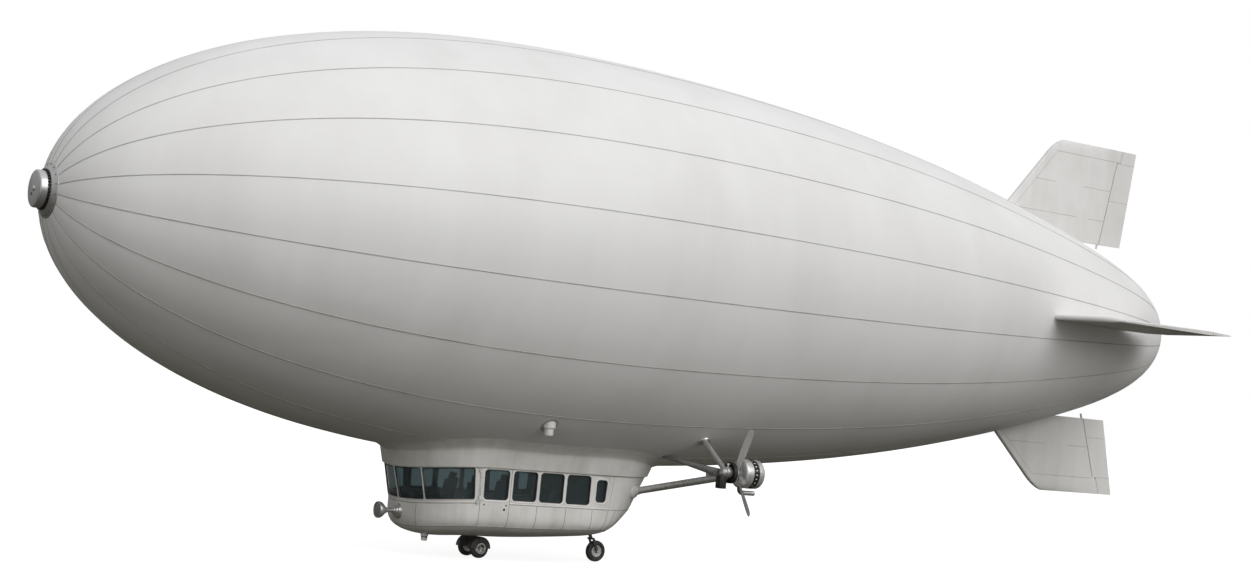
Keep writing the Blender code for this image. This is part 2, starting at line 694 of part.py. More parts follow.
door_window = side_window(*WINDOWS[0], -1)
door = panel(-s_rear, -s_front, CHINE + 0.006, ROOF - half_door_gap, [door_window], 0.0, WALL, half_door_gap)
door = add("cabin_door", door, PANEL, door_pivot)
swing = [(CHINE - 0.1, 0.0)]
for z in (CHINE - 0.1, CHINE, -7.28, -7.10, BELT, ROOF, ROOF + 0.1):
    wall_edge = skin(-s_rear - half_door_gap, min(max(z, CHINE), ROOF))
    swing.append((z, math.hypot(wall_edge.x - hinge_x, wall_edge.y - hinge_y) - SWING_GAP))
swing.append((ROOF + 0.1, 0.0))
boolean(door, cutter("guide_swing", turned(swing, (hinge_x, hinge_y, 0), (0, 0, 1), 120)), 'INTERSECT')
for k, (low, high) in enumerate(KNUCKLES):
    eye = rod((hinge_x, hinge_y, low), (hinge_x, hinge_y, high), HINGE_RADIUS + 0.007)
    boolean(door, cutter("guide_eye_%d" % k, eye), 'UNION')
    boolean(door, cutter("guide_arm_%d" % k, hinge_arm(0.07, 0.12, 0.06, low, high)), 'UNION')
boolean(door, cutter("guide_door_bore", rod((hinge_x, hinge_y, BELT - 0.1), (hinge_x, hinge_y, ROOF + 0.1),
                                            HINGE_RADIUS + 0.0005)))
add("door_glazing", glazing(-s_rear + 0.030, -s_front - 0.050, top=ROOF - 0.03), GLASS, door_pivot)

# Seats and console, seen through the glass
SEAT_WIDTH = 0.52
SEAT_SIDE = ((0.0, 0.0), (0.40, 0.0), (0.40, 0.30), (0.62, 0.32), (0.74, 0.95), (0.78, 1.22),
             (0.68, 1.24), (0.62, 0.98), (0.46, 0.48), (-0.02, 0.44), (-0.06, 0.34), (0.0, 0.30))
SEATS = (
    # name, front of the seat, middle of its width
    ("pilot_seat_port", 11.72, -0.62), ("pilot_seat_starboard", 11.72, 0.62),
    ("rear_seat_port", 13.75, -1.20), ("rear_seat_starboard", 13.75, 1.20),
)
for name, x, y in SEATS:
    seat = slab(SEAT_SIDE, lambda p, side: (x + p[0], y + SEAT_WIDTH * (side - 0.5), FLOOR_TOP + GAP + p[1]))
    add(name, seat, CLOTH)
CONSOLE_SIDE = ((10.98, 0.0), (11.22, 0.0), (11.22, 0.42), (11.32, 0.58), (11.10, 0.70), (10.98, 0.62))
console = slab(CONSOLE_SIDE, lambda p, side: (p[0], 2.0 * (side - 0.5), FLOOR_TOP + GAP + p[1]))
add("control_console", console, DARK)

# Lamp on a stem, stub and drain under the gondola
LAMP_Z = -7.25
lamp = turned([(9.83, 0.0), (9.83, 0.215), (9.88, 0.225), (9.96, 0.20), (10.06, 0.11), (10.14, 0.055),
               (10.40, 0.045), (10.42, 0.10), (10.45, 0.19), (10.75, 0.19), (10.75, 0.0)],
              (0, 0, LAMP_Z), (1, 0, 0), 24)
boolean(add("nose_lamp", lamp, STEEL), gondola_tool)
stub = turned([(-7.98, 0.0), (-7.98, 0.085), (-7.84, 0.085), (-7.84, 0.11), (-7.70, 0.11), (-7.70, 0.0)],
              (11.15, -0.35, 0.0), (0, 0, 1), 16)
boolean(add("belly_stub", stub, DARK), gondola_tool)


# Landing gear
FRONT_X = 12.90
FRONT_RADIUS = 0.270
FRONT_HUB = -AXIS_HEIGHT + FRONT_RADIUS
REAR_X = 16.94
REAR_RADIUS = 0.300
REAR_HUB = -AXIS_HEIGHT + REAR_RADIUS
AXLE = 0.030
TRACK = 0.32             # middle of a front wheel from the centre line


def tyre(middle, half, radius, hub):
    """Half outline of a tyre and hub, as (across, radius) points from inner face to outer face."""
    return [(middle - half * 0.55, hub), (middle - half * 0.6, radius * 0.55), (middle - half, radius * 0.72),
            (middle - half * 0.9, radius * 0.9), (middle - half * 0.45, radius), (middle + half * 0.45, radius),
            (middle + half * 0.9, radius * 0.9), (middle + half, radius * 0.72),
            (middle + half * 0.6, radius * 0.55), (middle + half * 0.55, hub)]


half_front = [(0.0, AXLE), (TRACK - 0.045, AXLE)] + tyre(TRACK, 0.075, FRONT_RADIUS, 0.045)
half_front += [(TRACK + 0.075, 0.045), (TRACK + 0.075, 0.0)]
profile = [(-y, r) for y, r in half_front[:0:-1]] + half_front[1:]
add("front_wheels", turned(profile, (FRONT_X, 0, FRONT_HUB), (0, 1, 0), 32), RUBBER, (FRONT_X, 0, FRONT_HUB))
GUARD_IN = TRACK - 0.125
leg = add("front_leg", block((FRONT_X - 0.06, -GUARD_IN + GAP, FRONT_HUB - 0.06),
                             (FRONT_X + 0.06, GUARD_IN - GAP, FRONT_HUB + 0.06)), DARK)
boolean(leg, cutter("guide_leg_post", block((FRONT_X - 0.055, -0.07, FRONT_HUB),
                                            (FRONT_X + 0.055, 0.07, -7.70))), 'UNION')
boolean(leg, gondola_tool)
boolean(leg, cutter("guide_front_bore", rod((FRONT_X, -1, FRONT_HUB), (FRONT_X, 1, FRONT_HUB), AXLE + 0.0006)))
GUARD_RADIUS = FRONT_RADIUS + 0.045
for side, word in ((-1, "port"), (1, "starboard")):
    y0, y1 = side * GUARD_IN, side * (TRACK + 0.10)
    guard = turned([(y0, 0.075), (y0 + side * 0.010, 0.075), (y0 + side * 0.010, GUARD_RADIUS - 0.016),
                    (y1, GUARD_RADIUS - 0.016), (y1, GUARD_RADIUS), (y0, GUARD_RADIUS)],
                   (FRONT_X, 0, FRONT_HUB), (0, 1, 0), 18, 180.0, 180.0)
    add("front_mudguard_" + word, guard, DARK)
REAR_HALF = 0.085
rear = [(-REAR_HALF * 0.55, AXLE + 0.0006)] + tyre(0.0, REAR_HALF, REAR_RADIUS, 0.07)[1:-1]
rear += [(REAR_HALF * 0.55, AXLE + 0.0006)]
add("rear_wheel", turned(rear, (REAR_X, 0, REAR_HUB), (0, 1, 0), 32), RUBBER, (REAR_X, 0, REAR_HUB))
FORK_IN = REAR_HALF + 0.012
FORK_OUT = FORK_IN + 0.028
FORK_TOP = REAR_HUB + REAR_RADIUS + 0.075
FORK_LEAN = 0.48          # the fork leans forward by this much for each metre up
fork_plan = ((-FORK_OUT, -0.045), (-FORK_IN, -0.045), (-FORK_IN, FORK_TOP - REAR_HUB - 0.05),
             (FORK_IN, FORK_TOP - REAR_HUB - 0.05), (FORK_IN, -0.045), (FORK_OUT, -0.045),
             (FORK_OUT, FORK_TOP - REAR_HUB), (0.05, FORK_TOP - REAR_HUB), (0.05, 0.75), (-0.05, 0.75),
             (-0.05, FORK_TOP - REAR_HUB), (-FORK_OUT, FORK_TOP - REAR_HUB))
fork = slab(fork_plan, lambda p, side: (REAR_X - p[1] * FORK_LEAN + 0.09 * (side - 0.5), p[0], REAR_HUB + p[1]))
fork = add("rear_leg", fork, DARK)
boolean(fork, gondola_tool)
boolean(fork, cutter("guide_rear_bore", rod((REAR_X, -1, REAR_HUB), (REAR_X, 1, REAR_HUB), AXLE + GAP)))
add("rear_axle", rod((REAR_X, -FORK_OUT - 0.02, REAR_HUB), (REAR_X, FORK_OUT + 0.02, REAR_HUB), AXLE), STEEL)


# Outrigger engines: the fixed spindle runs aft from the head, through the propeller's hub, to the engine
ENGINE_Y = 4.50
ENGINE_Z = -5.45
PROP_X = 18.22
PROP_RADIUS = 1.33
BLADE_ANGLES = (25.0, 145.0, 265.0)      # from straight up, turning outboard
SPINDLE = 0.05
ENGINE_RADIUS = 0.395
HEAD_X = 17.92
BOOM_FOOT = (16.60, 0.55, -6.52)
BOOM_END = (17.90, 4.30, -5.60)
PAD_OUT = (18.14, 3.06, -4.68)
STRUT_END = (17.90, 4.44, -5.39)
FAIRING_FOOT = (17.60, 2.05, -5.22)
FAIRING_END = (17.90, 4.32, -5.50)


def blade_sections(angle, side):
    """Three-sided list of rings along one blade, each a thin twisted lens."""
    up = math.radians(angle)
    out = Vector((0.0, side * math.sin(up), math.cos(up)))
    across = Vector((0.0, side * math.cos(up), -math.sin(up)))
    rings = []
    for r, chord, thick, pitch in ((0.06, 0.09, 0.055, 60), (0.30, 0.12, 0.045, 50), (0.55, 0.17, 0.032, 38),
                                   (1.00, 0.19, 0.022, 26), (PROP_RADIUS - 0.05, 0.17, 0.014, 20),
                                   (PROP_RADIUS, 0.11, 0.010, 20)):
        lead = across * math.cos(math.radians(pitch)) + Vector((1, 0, 0)) * math.sin(math.radians(pitch))
        flat = lead.cross(out)
        centre = Vector((PROP_X, side * ENGINE_Y, ENGINE_Z)) + out * r
        rings.append([centre + lead * (chord / 2 * math.cos(a)) + flat * (thick / 2 * math.sin(a))
                      for a in [2 * math.pi * k / 8 for k in range(8)]])
    return rings


def ship_side(p, side):
    return (p[0], side * p[1], p[2])


for side, word in ((-1, "port"), (1, "starboard")):
    centre = (0.0, side * ENGINE_Y, ENGINE_Z)
    hub_at = (PROP_X, side * ENGINE_Y, ENGINE_Z)
    head_shape = [(HEAD_X - 0.20, 0.0), (HEAD_X - 0.19, 0.07), (HEAD_X - 0.14, 0.125), (HEAD_X - 0.05, 0.16),
                  (HEAD_X + 0.05, 0.16), (HEAD_X + 0.07, 0.12), (HEAD_X + 0.12, 0.12), (HEAD_X + 0.12, 0.29),
                  (HEAD_X + 0.17, 0.29), (HEAD_X + 0.17, SPINDLE), (PROP_X + 0.12, SPINDLE), (PROP_X + 0.12, 0.0)]
    head = add("engine_head_" + word, turned(head_shape, centre, (1, 0, 0), 24), STEEL)
    grown = [(h + (2 * GAP if i in (4, 5) else -2 * GAP), r + 2 * GAP if r else 0.0)
             for i, (h, r) in enumerate(head_shape[:8])]
    grown.append((HEAD_X + 0.17 + 2 * GAP, 0.29 + 2 * GAP))
    head_tool = cutter("guide_head_" + word, turned(grown + [(HEAD_X + 0.17 + 2 * GAP, 0.0)], centre, (1, 0, 0), 24))
    gearbox_low = Vector((HEAD_X - 0.30, side * ENGINE_Y - 0.12, ENGINE_Z - 0.46))
    gearbox_high = Vector((HEAD_X - 0.04, side * ENGINE_Y + 0.12, ENGINE_Z - 0.08))
    grow = Vector((2 * GAP, 2 * GAP, 2 * GAP))
    boolean(head, cutter("guide_gearbox_" + word, block(gearbox_low, gearbox_high)), 'UNION')
    gearbox_tool = cutter("guide_gearbox_gap_" + word, block(gearbox_low - grow, gearbox_high + grow))
    boom = add("boom_" + word, rod(ship_side(BOOM_FOOT, side), ship_side(BOOM_END, side), 0.10), STEEL)
    boolean(boom, gondola_tool)
    boolean(boom, head_tool)
    boolean(boom, gearbox_tool)
    boom_tool = cutter("guide_boom_" + word, sleeve(ship_side(BOOM_FOOT, side), ship_side(BOOM_END, side), 0.10))
    pad = Vector(ship_side(PAD_OUT, side))
    normal = Vector((0.0, pad.y, pad.z)).normalized()
    strut = add("strut_" + word, rod(pad + normal * 0.03, ship_side(STRUT_END, side), 0.058), STEEL)
    disc = turned([(-0.25, 0.0), (-0.25, 0.14), (0.035, 0.14), (0.05, 0.12), (0.05, 0.0)], pad, normal, 20)
    boolean(strut, cutter("guide_pad_" + word, disc), 'UNION')
    boolean(strut, hull_tool)
    boolean(strut, head_tool)
    boolean(strut, boom_tool)
    boolean(strut, gearbox_tool)
    strut_tool = cutter("guide_strut_" + word, sleeve(pad, ship_side(STRUT_END, side), 0.058))
    foot, end = Vector(ship_side(FAIRING_FOOT, side)), Vector(ship_side(FAIRING_END, side))
    lie = (end - foot).normalized()
    chordwise = (Vector((1, 0, 0)) - lie * lie.x).normalized()
    thin = lie.cross(chordwise)
    rings = []
    for at, chord in ((foot - lie * 0.3, 0.34), (end, 0.20)):
        rings.append([at + chordwise * (chord / 2 * math.cos(a)) + thin * (0.045 * math.sin(a))
                      for a in [2 * math.pi * k / 12 for k in range(12)]])
    fairing = add("fairing_strut_" + word, loft(rings), STEEL)
    boolean(fairing, hull_tool)
    boolean(fairing, head_tool)
    boolean(fairing, boom_tool)
    boolean(fairing, gearbox_tool)
    boolean(fairing, strut_tool)
    prop = add("propeller_" + word, turned([(-0.055, SPINDLE + 0.0006), (-0.055, 0.11), (0.055, 0.11),
                                            (0.055, SPINDLE + 0.0006)], hub_at, (1, 0, 0), 24), BLADE, hub_at)
    for k, angle in enumerate(BLADE_ANGLES):
        rings = blade_sections(angle, side)
        blade = cutter("guide_blade_%s_%d" % (word, k), loft(rings))
        boolean(prop, blade, 'UNION')
    x0 = PROP_X + 0.0603
    cowl_shape = [(x0, SPINDLE + GAP), (x0, 0.12), (x0 + 0.035, 0.30), (x0 + 0.07, ENGINE_RADIUS),
                  (x0 + 0.34, ENGINE_RADIUS), (x0 + 0.34, 0.30), (x0 + 0.4506, 0.30),
                  (x0 + 0.4506, ENGINE_RADIUS), (x0 + 0.62, ENGINE_RADIUS), (x0 + 0.70, 0.33),
                  (x0 + 0.73, 0.22), (x0 + 0.73, 0.0),
                  (PROP_X + 0.1206, 0.0), (PROP_X + 0.1206, SPINDLE + GAP)]
    cowl = add("engine_cowl_" + word, turned(cowl_shape, centre, (1, 0, 0), 32), STEEL)
    ring = []
    for i in range(20):
        for share, r in ((0.0, 0.355), (0.45, 0.355), (0.5, ENGINE_RADIUS + 0.005), (0.95, ENGINE_RADIUS + 0.005)):
            angle = 2 * math.pi * (i + share) / 20
            ring.append((r * math.cos(angle), r * math.sin(angle)))
    gill = add("gill_ring_" + word, slab(ring, lambda p, s: (x0 + 0.3403 + 0.11 * s, centre[1] + p[0],
                                                             centre[2] + p[1])), DARK)
    boolean(gill, cutter("guide_gill_" + word, rod((x0, centre[1], centre[2]), (x0 + 0.6, centre[1], centre[2]),
                                                   0.3006, 32)))
    pipe_y = side * ENGINE_Y
    exhaust = pipe([(x0 + 0.12, pipe_y, ENGINE_Z - ENGINE_RADIUS + 0.1), (x0 + 0.12, pipe_y, ENGINE_Z - 0.475),
                    (x0 + 0.18, pipe_y, ENGINE_Z - 0.52), (x0 + 0.62, pipe_y, ENGINE_Z - 0.52)], 0.055)
    boolean(cowl, cutter("guide_exhaust_" + word, exhaust), 'UNION')
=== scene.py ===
import bisect
from math import acos, ceil, comb, copysign, cos, hypot, pi, radians, sin, sqrt

import bmesh
import bpy
from mathutils import Matrix, Vector


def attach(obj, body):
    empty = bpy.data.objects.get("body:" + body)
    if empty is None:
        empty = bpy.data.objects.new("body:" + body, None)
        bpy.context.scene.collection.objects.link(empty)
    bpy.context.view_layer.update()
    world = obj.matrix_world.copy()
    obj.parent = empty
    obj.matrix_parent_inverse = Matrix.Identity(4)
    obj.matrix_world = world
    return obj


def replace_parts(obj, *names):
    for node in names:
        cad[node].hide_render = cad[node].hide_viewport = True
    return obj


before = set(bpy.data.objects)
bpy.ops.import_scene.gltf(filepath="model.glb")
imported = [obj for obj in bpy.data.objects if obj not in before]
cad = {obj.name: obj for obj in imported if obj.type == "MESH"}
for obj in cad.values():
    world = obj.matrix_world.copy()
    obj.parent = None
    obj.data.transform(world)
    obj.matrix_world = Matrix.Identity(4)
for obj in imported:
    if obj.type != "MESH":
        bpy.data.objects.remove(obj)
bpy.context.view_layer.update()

# The viewpoint: a long lens a little below the airship's middle, off its port bow, with the camera
# tilted so that the hull climbs across the picture. All places are drawn from the envelope's nose.
nose_tip = Vector((-19.345, 0.0, 8.40))
turn, rise, tilt = radians(-34.429), radians(-2.947), radians(5.276)
back = Vector((sin(turn) * cos(rise), -cos(turn) * cos(rise), sin(rise)))
level_right = (-back).cross(Vector((0, 0, 1))).normalized()
level_up = level_right.cross(-back)
right = level_right * cos(tilt) + level_up * sin(tilt)
up = level_up * cos(tilt) - level_right * sin(tilt)
camera = bpy.data.objects.new("camera", bpy.data.cameras.new("camera"))
camera.data.lens = 60.71
camera.data.sensor_width = 36.0
camera.data.clip_end = 2000.0
camera.matrix_world = Matrix.Translation(nose_tip + Vector((-16.99, -49.82, -3.77))) @ Matrix((
    (right.x, up.x, back.x), (right.y, up.y, back.y), (right.z, up.z, back.z))).to_4x4()
scene = bpy.context.scene
scene.collection.objects.link(camera)
scene.camera = camera
scene.view_settings.view_transform = "Standard"


# The studio: a plain white surround that is bright overhead and dim below, a broad lamp high over the
# camera's right shoulder, a weaker one low towards the bow, and a plain pale floor under the wheels.
def put(tree, kind, settings=None, sockets=None):
    """Add one node, set its options, and fill its sockets with numbers or with other nodes' outputs."""
    made = tree.nodes.new(kind)
    for name, value in (settings or {}).items():
        setattr(made, name, value)
    for name, value in (sockets or {}).items():
        if isinstance(value, bpy.types.NodeSocket):
            tree.links.new(value, made.inputs[name])
        else:
            made.inputs[name].default_value = value
    return made


def ramp(tree, factor, stops):
    """A colour ramp through (place, colour) stops."""
    made = put(tree, "ShaderNodeValToRGB", {}, {"Fac": factor})
    while len(made.color_ramp.elements) < len(stops):
        made.color_ramp.elements.new(0.5)
    for element, (position, color) in zip(made.color_ramp.elements, stops):
        element.position = position
        element.color = (*color, 1.0)
    return made.outputs["Color"]


world = bpy.data.worlds.new("studio")
scene.world = world
world.use_nodes = True
sky = world.node_tree
sky.nodes.clear()
heading = put(sky, "ShaderNodeSeparateXYZ", {}, {0: put(sky, "ShaderNodeTexCoord").outputs["Generated"]})
height = put(sky, "ShaderNodeMapRange", {}, {
    "Value": heading.outputs["Z"], "From Min": -1.0, "From Max": 1.0})
glow = ramp(sky, height.outputs["Result"], (
    (0.0, (0.055, 0.052, 0.040)), (0.42, (0.075, 0.072, 0.060)), (0.56, (0.34, 0.34, 0.345)),
    (1.0, (0.80, 0.80, 0.83))))
seen = put(sky, "ShaderNodeLightPath").outputs["Is Camera Ray"]
shown = put(sky, "ShaderNodeMix", {"data_type": "RGBA"}, {0: seen, 6: glow, 7: (1.0, 1.0, 1.0, 1.0)})
backdrop = put(sky, "ShaderNodeBackground", {}, {"Color": shown.outputs[2], "Strength": 1.0})
put(sky, "ShaderNodeOutputWorld", {}, {"Surface": backdrop.outputs["Background"]})


def sun(name, strength, spread, toward):
    lamp = bpy.data.lights.new(name, "SUN")
    lamp.energy = strength
    lamp.angle = radians(spread)
    holder = bpy.data.objects.new(name, lamp)
    holder.rotation_euler = Vector(toward).to_track_quat("-Z", "Y").to_euler()
    scene.collection.objects.link(holder)


sun("broad lamp", 1.56, 50.0, (-0.20, 0.80, -0.55))
sun("bow lamp", 0.42, 70.0, (0.80, 0.60, -0.12))

floor_mesh = bpy.data.meshes.new("floor")
reach = 1500
floor_mesh.from_pydata([(-reach, -reach, 0), (reach, -reach, 0), (reach, reach, 0), (-reach, reach, 0)],
                       [], [(0, 1, 2, 3)])
floor = bpy.data.objects.new("floor", floor_mesh)
scene.collection.objects.link(floor)
floor_paint = bpy.data.materials.new("pale floor")
floor_paint.use_nodes = True
tree = floor_paint.node_tree
tree.nodes.clear()
matt = put(tree, "ShaderNodeBsdfDiffuse", {}, {"Color": (0.30, 0.30, 0.29, 1.0)})
bright = put(tree, "ShaderNodeEmission", {}, {"Color": (1.0, 1.0, 1.0, 1.0), "Strength": 0.90})
seen = put(tree, "ShaderNodeLightPath").outputs["Is Camera Ray"]
both = put(tree, "ShaderNodeAddShader", {}, {0: matt.outputs[0], 1: bright.outputs[0]})
mixed = put(tree, "ShaderNodeMixShader", {}, {0: seen, 1: matt.outputs[0], 2: both.outputs[0]})
put(tree, "ShaderNodeOutputMaterial", {}, {"Surface": mixed.outputs[0]})
floor_mesh.materials.append(floor_paint)
floor.visible_diffuse = False
floor.visible_glossy = False


# Envelope: coated cloth cut in eighteen long gores, welded edge to edge and held round by gas pressure.
# The piece is one smooth closed skin, with a faint pull towards each seam.
fullness = (0.3667, 0.3393, 0.3363, 0.2066, 0.3506, 0.1641, 0.2659)
envelope_length = 39.0
gores = 18
seam_start = radians(10)                 # the first seam lies this far above the port side
gore_crown, gore_sink = 0.006, 0.004


def turns(count, first=0.0):
    """Equal angles all the way round."""
    return [2 * pi * (k + first) / count for k in range(count)]


def hull_radius(x):
    t = min(max(x / envelope_length, 0.0), 1.0)
    full = sum(c * comb(6, i) * t ** i * (1 - t) ** (6 - i) for i, c in enumerate(fullness))
    return envelope_length * sqrt(t * (1 - t)) * full


def piece(name, bm, material, body="airship", sharp=32.0):
    """Make an object from a mesh drawn from the nose tip, shade it and let it ride on its body."""
    bmesh.ops.translate(bm, verts=bm.verts, vec=nose_tip)
    bmesh.ops.recalc_face_normals(bm, faces=bm.faces)
    mesh = bpy.data.meshes.new(name)
    bm.to_mesh(mesh)
    bm.free()
    mesh.materials.append(material)
    mesh.shade_smooth()
    mesh.set_sharp_from_angle(angle=radians(sharp))
    obj = bpy.data.objects.new(name, mesh)
    scene.collection.objects.link(obj)
    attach(obj, body)
    return obj


def skin_over(rings, closed=True, ends=True):
    """Join rings of points with four-sided faces."""
    bm = bmesh.new()
    rows = [[bm.verts.new(p) for p in ring] for ring in rings]
    count = len(rows[0])
    for a, b in zip(rows, rows[1:]):
        for i in range(count if closed else count - 1):
            j = (i + 1) % count
            bm.faces.new((a[i], a[j], b[j], b[i]))
    if ends:
        bm.faces.new(rows[0])
        bm.faces.new(rows[-1])
    return bm


def new_group(name, inputs, outputs):
    group = bpy.data.node_groups.new(name, "ShaderNodeTree")
    for label, kind, value in inputs:
        socket = group.interface.new_socket(label, in_out="INPUT", socket_type=kind)
        socket.default_value = value
    for label, kind in outputs:
        group.interface.new_socket(label, in_out="OUTPUT", socket_type=kind)
    return group, group.nodes.new("NodeGroupInput"), group.nodes.new("NodeGroupOutput")


def build_weathering():
    """Soil in soft patches and in streaks that run down, with an uneven sheen and a fine relief."""
    group, given, result = new_group("weathering", (
        ("Clean", "NodeSocketColor", (0.7, 0.7, 0.7, 1)), ("Soil", "NodeSocketColor", (0.3, 0.29, 0.26, 1)),
        ("Soiling", "NodeSocketFloat", 0.3), ("Patch Size", "NodeSocketFloat", 1.0),
        ("Grain Size", "NodeSocketFloat", 0.01), ("Sheen Low", "NodeSocketFloat", 0.35),
        ("Sheen High", "NodeSocketFloat", 0.5)),
        (("Color", "NodeSocketColor"), ("Roughness", "NodeSocketFloat"), ("Relief", "NodeSocketFloat")))
    place = put(group, "ShaderNodeTexCoord").outputs["Object"]
    patch_scale, grain_scale = (put(group, "ShaderNodeMath", {"operation": "DIVIDE"}, {
        0: 1.0, 1: given.outputs[size]}) for size in ("Patch Size", "Grain Size"))
    patches = put(group, "ShaderNodeTexNoise", {}, {
        "Vector": place, "Scale": patch_scale.outputs[0], "Detail": 5.0, "Roughness": 0.6})
    drawn = put(group, "ShaderNodeMapping", {}, {"Vector": place, "Scale": (3.0, 3.0, 0.35)})
    streaks = put(group, "ShaderNodeTexNoise", {}, {
        "Vector": drawn.outputs[0], "Scale": patch_scale.outputs[0], "Detail": 4.0, "Roughness": 0.55})
    grain = put(group, "ShaderNodeTexNoise", {}, {
        "Vector": place, "Scale": grain_scale.outputs[0], "Detail": 2.0, "Roughness": 0.5})
    both = put(group, "ShaderNodeMath", {"operation": "MULTIPLY"}, {
        0: patches.outputs[0], 1: streaks.outputs[0]})
    mask = put(group, "ShaderNodeMapRange", {}, {
        "Value": both.outputs[0], "From Min": 0.16, "From Max": 0.42})
    amount = put(group, "ShaderNodeMath", {"operation": "MULTIPLY"}, {
        0: mask.outputs["Result"], 1: given.outputs["Soiling"]})
    color = put(group, "ShaderNodeMix", {"data_type": "RGBA"}, {
        0: amount.outputs[0], 6: given.outputs["Clean"], 7: given.outputs["Soil"]})
    sheen = put(group, "ShaderNodeMapRange", {}, {
        "Value": patches.outputs[0], "From Min": 0.3, "From Max": 0.7,
        "To Min": given.outputs["Sheen Low"], "To Max": given.outputs["Sheen High"]})
    group.links.new(color.outputs[2], result.inputs["Color"])
    group.links.new(sheen.outputs["Result"], result.inputs["Roughness"])
    group.links.new(grain.outputs[0], result.inputs["Relief"])
    return group


def build_weave():
    """Crossed threads."""
    group, given, result = new_group("weave", (("Thread", "NodeSocketFloat", 0.004),),
                                     (("Relief", "NodeSocketFloat"),))
    place = put(group, "ShaderNodeTexCoord").outputs["Object"]
    scale = put(group, "ShaderNodeMath", {"operation": "DIVIDE"}, {0: 0.16, 1: given.outputs["Thread"]})
    threads = [put(group, "ShaderNodeTexWave", {"bands_direction": way}, {
        "Vector": place, "Scale": scale.outputs[0], "Distortion": 0.4}).outputs["Fac"] for way in ("X", "Z")]
    crossed = put(group, "ShaderNodeMath", {"operation": "MAXIMUM"}, {0: threads[0], 1: threads[1]})
    group.links.new(crossed.outputs[0], result.inputs["Relief"])
    return group


weathering = build_weathering()
weave = build_weave()


def finish(name, color, soil, soiling, patch, grain, sheen, metal=0.0, relief=0.0004, thread=0.0, coat=0.0):
    """A painted, coated or bare finish: the shader with weathering, and a weave where it is cloth."""
    mat = bpy.data.materials.new(name)
    mat.use_nodes = True
    mat.diffuse_color = (*color, 1.0)
    tree = mat.node_tree
    shader = tree.nodes["Principled BSDF"]
    shader.inputs["Metallic"].default_value = metal
    shader.inputs["Coat Weight"].default_value = coat
    worn = put(tree, "ShaderNodeGroup", {"node_tree": weathering}, {
        "Clean": (*color, 1), "Soil": (*soil, 1), "Soiling": soiling, "Patch Size": patch,
        "Grain Size": grain, "Sheen Low": sheen[0], "Sheen High": sheen[1]})
    tree.links.new(worn.outputs["Color"], shader.inputs["Base Color"])
    tree.links.new(worn.outputs["Roughness"], shader.inputs["Roughness"])
    bump = put(tree, "ShaderNodeBump", {}, {
        "Height": worn.outputs["Relief"], "Distance": relief, "Strength": 0.6})
    if thread:
        cloth = put(tree, "ShaderNodeGroup", {"node_tree": weave}, {"Thread": thread})
        bump = put(tree, "ShaderNodeBump", {}, {
            "Height": cloth.outputs["Relief"], "Distance": thread * 0.1, "Strength": 0.4,
            "Normal": bump.outputs[0]})
    tree.links.new(bump.outputs[0], shader.inputs["Normal"])
    return mat


envelope_cloth = finish("envelope cloth", (0.805, 0.80, 0.785), (0.62, 0.61, 0.59), 0.35, 5.0, 0.02,
                        (0.42, 0.52), relief=0.0006, thread=0.004)
around, stations = 144, 170
first_share, last_share = 0.028, 0.9975


def hull_point(share, angle, out=0.0):
    """A point of the hull: share of the half turn along it, angle up from port, distance outward."""
    x = envelope_length * (1 - cos(pi * share)) / 2
    slope = (hull_radius(x + 0.002) - hull_radius(x - 0.002)) / 0.004
    lean = hypot(1.0, slope)
    r = hull_radius(x) + out / lean
    return Vector((x - out * slope / lean, -r * cos(angle), r * sin(angle)))


rings = []
for k in range(stations + 1):
    share = first_share + (last_share - first_share) * k / stations
    rings.append([hull_point(share, angle + seam_start, gore_crown * abs(sin(gores * angle / 2)) - gore_sink)
                  for angle in turns(around)])
envelope = piece("envelope_cloth_skin", skin_over(rings), envelope_cloth, sharp=60)
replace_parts(envelope, "envelope")


# Seam tapes: a narrow strip of the same cloth welded over each join between two gores, nose to tail.
# The tapes are coloured much darker than the envelope as painted shade for the shadow along each welt.
def join(bm, other):
    """Add another mesh to this one."""
    spare = bpy.data.meshes.new("spare")
    other.to_mesh(spare)
    bm.from_mesh(spare)
    bpy.data.meshes.remove(spare)
    other.free()


# The tape's dark colour is painted shade along the welts; the soil colour and soiling stand for dirt.
tape_cloth_soil_and_shade = finish("seam tape cloth, soiled, with painted shade", (0.46, 0.455, 0.44), (0.24, 0.235, 0.22), 0.7, 2.5, 0.02, (0.4, 0.55))
tape_half, tape_thick, tape_sink = 0.013, 0.004, 0.006
tape_line = ((-1.0, -tape_sink), (-0.8, tape_thick), (0.8, tape_thick), (1.0, -tape_sink))
tape_first, tape_last = 0.030, 0.985
tapes = bmesh.new()
for angle in turns(gores):
    rows = []
    for k in range(stations + 1):
        share = tape_first + (tape_last - tape_first) * k / stations
        r = hull_radius(envelope_length * (1 - cos(pi * share)) / 2)
        rows.append([hull_point(share, seam_start + angle + across * tape_half / r, proud)
                     for across, proud in tape_line])
    join(tapes, skin_over(rows))
piece("seam_tapes", tapes, tape_cloth_soil_and_shade)


# Nose fitting: a spun aluminium flange bolted through the envelope, a toothed clamping ring and the
# flat cap that a mast's cup takes hold of. Sixteen bolts hold the flange.
def weld(bm):
    """Merge the points that lie on each other."""
    bmesh.ops.remove_doubles(bm, verts=bm.verts, dist=0.00001)
    return bm


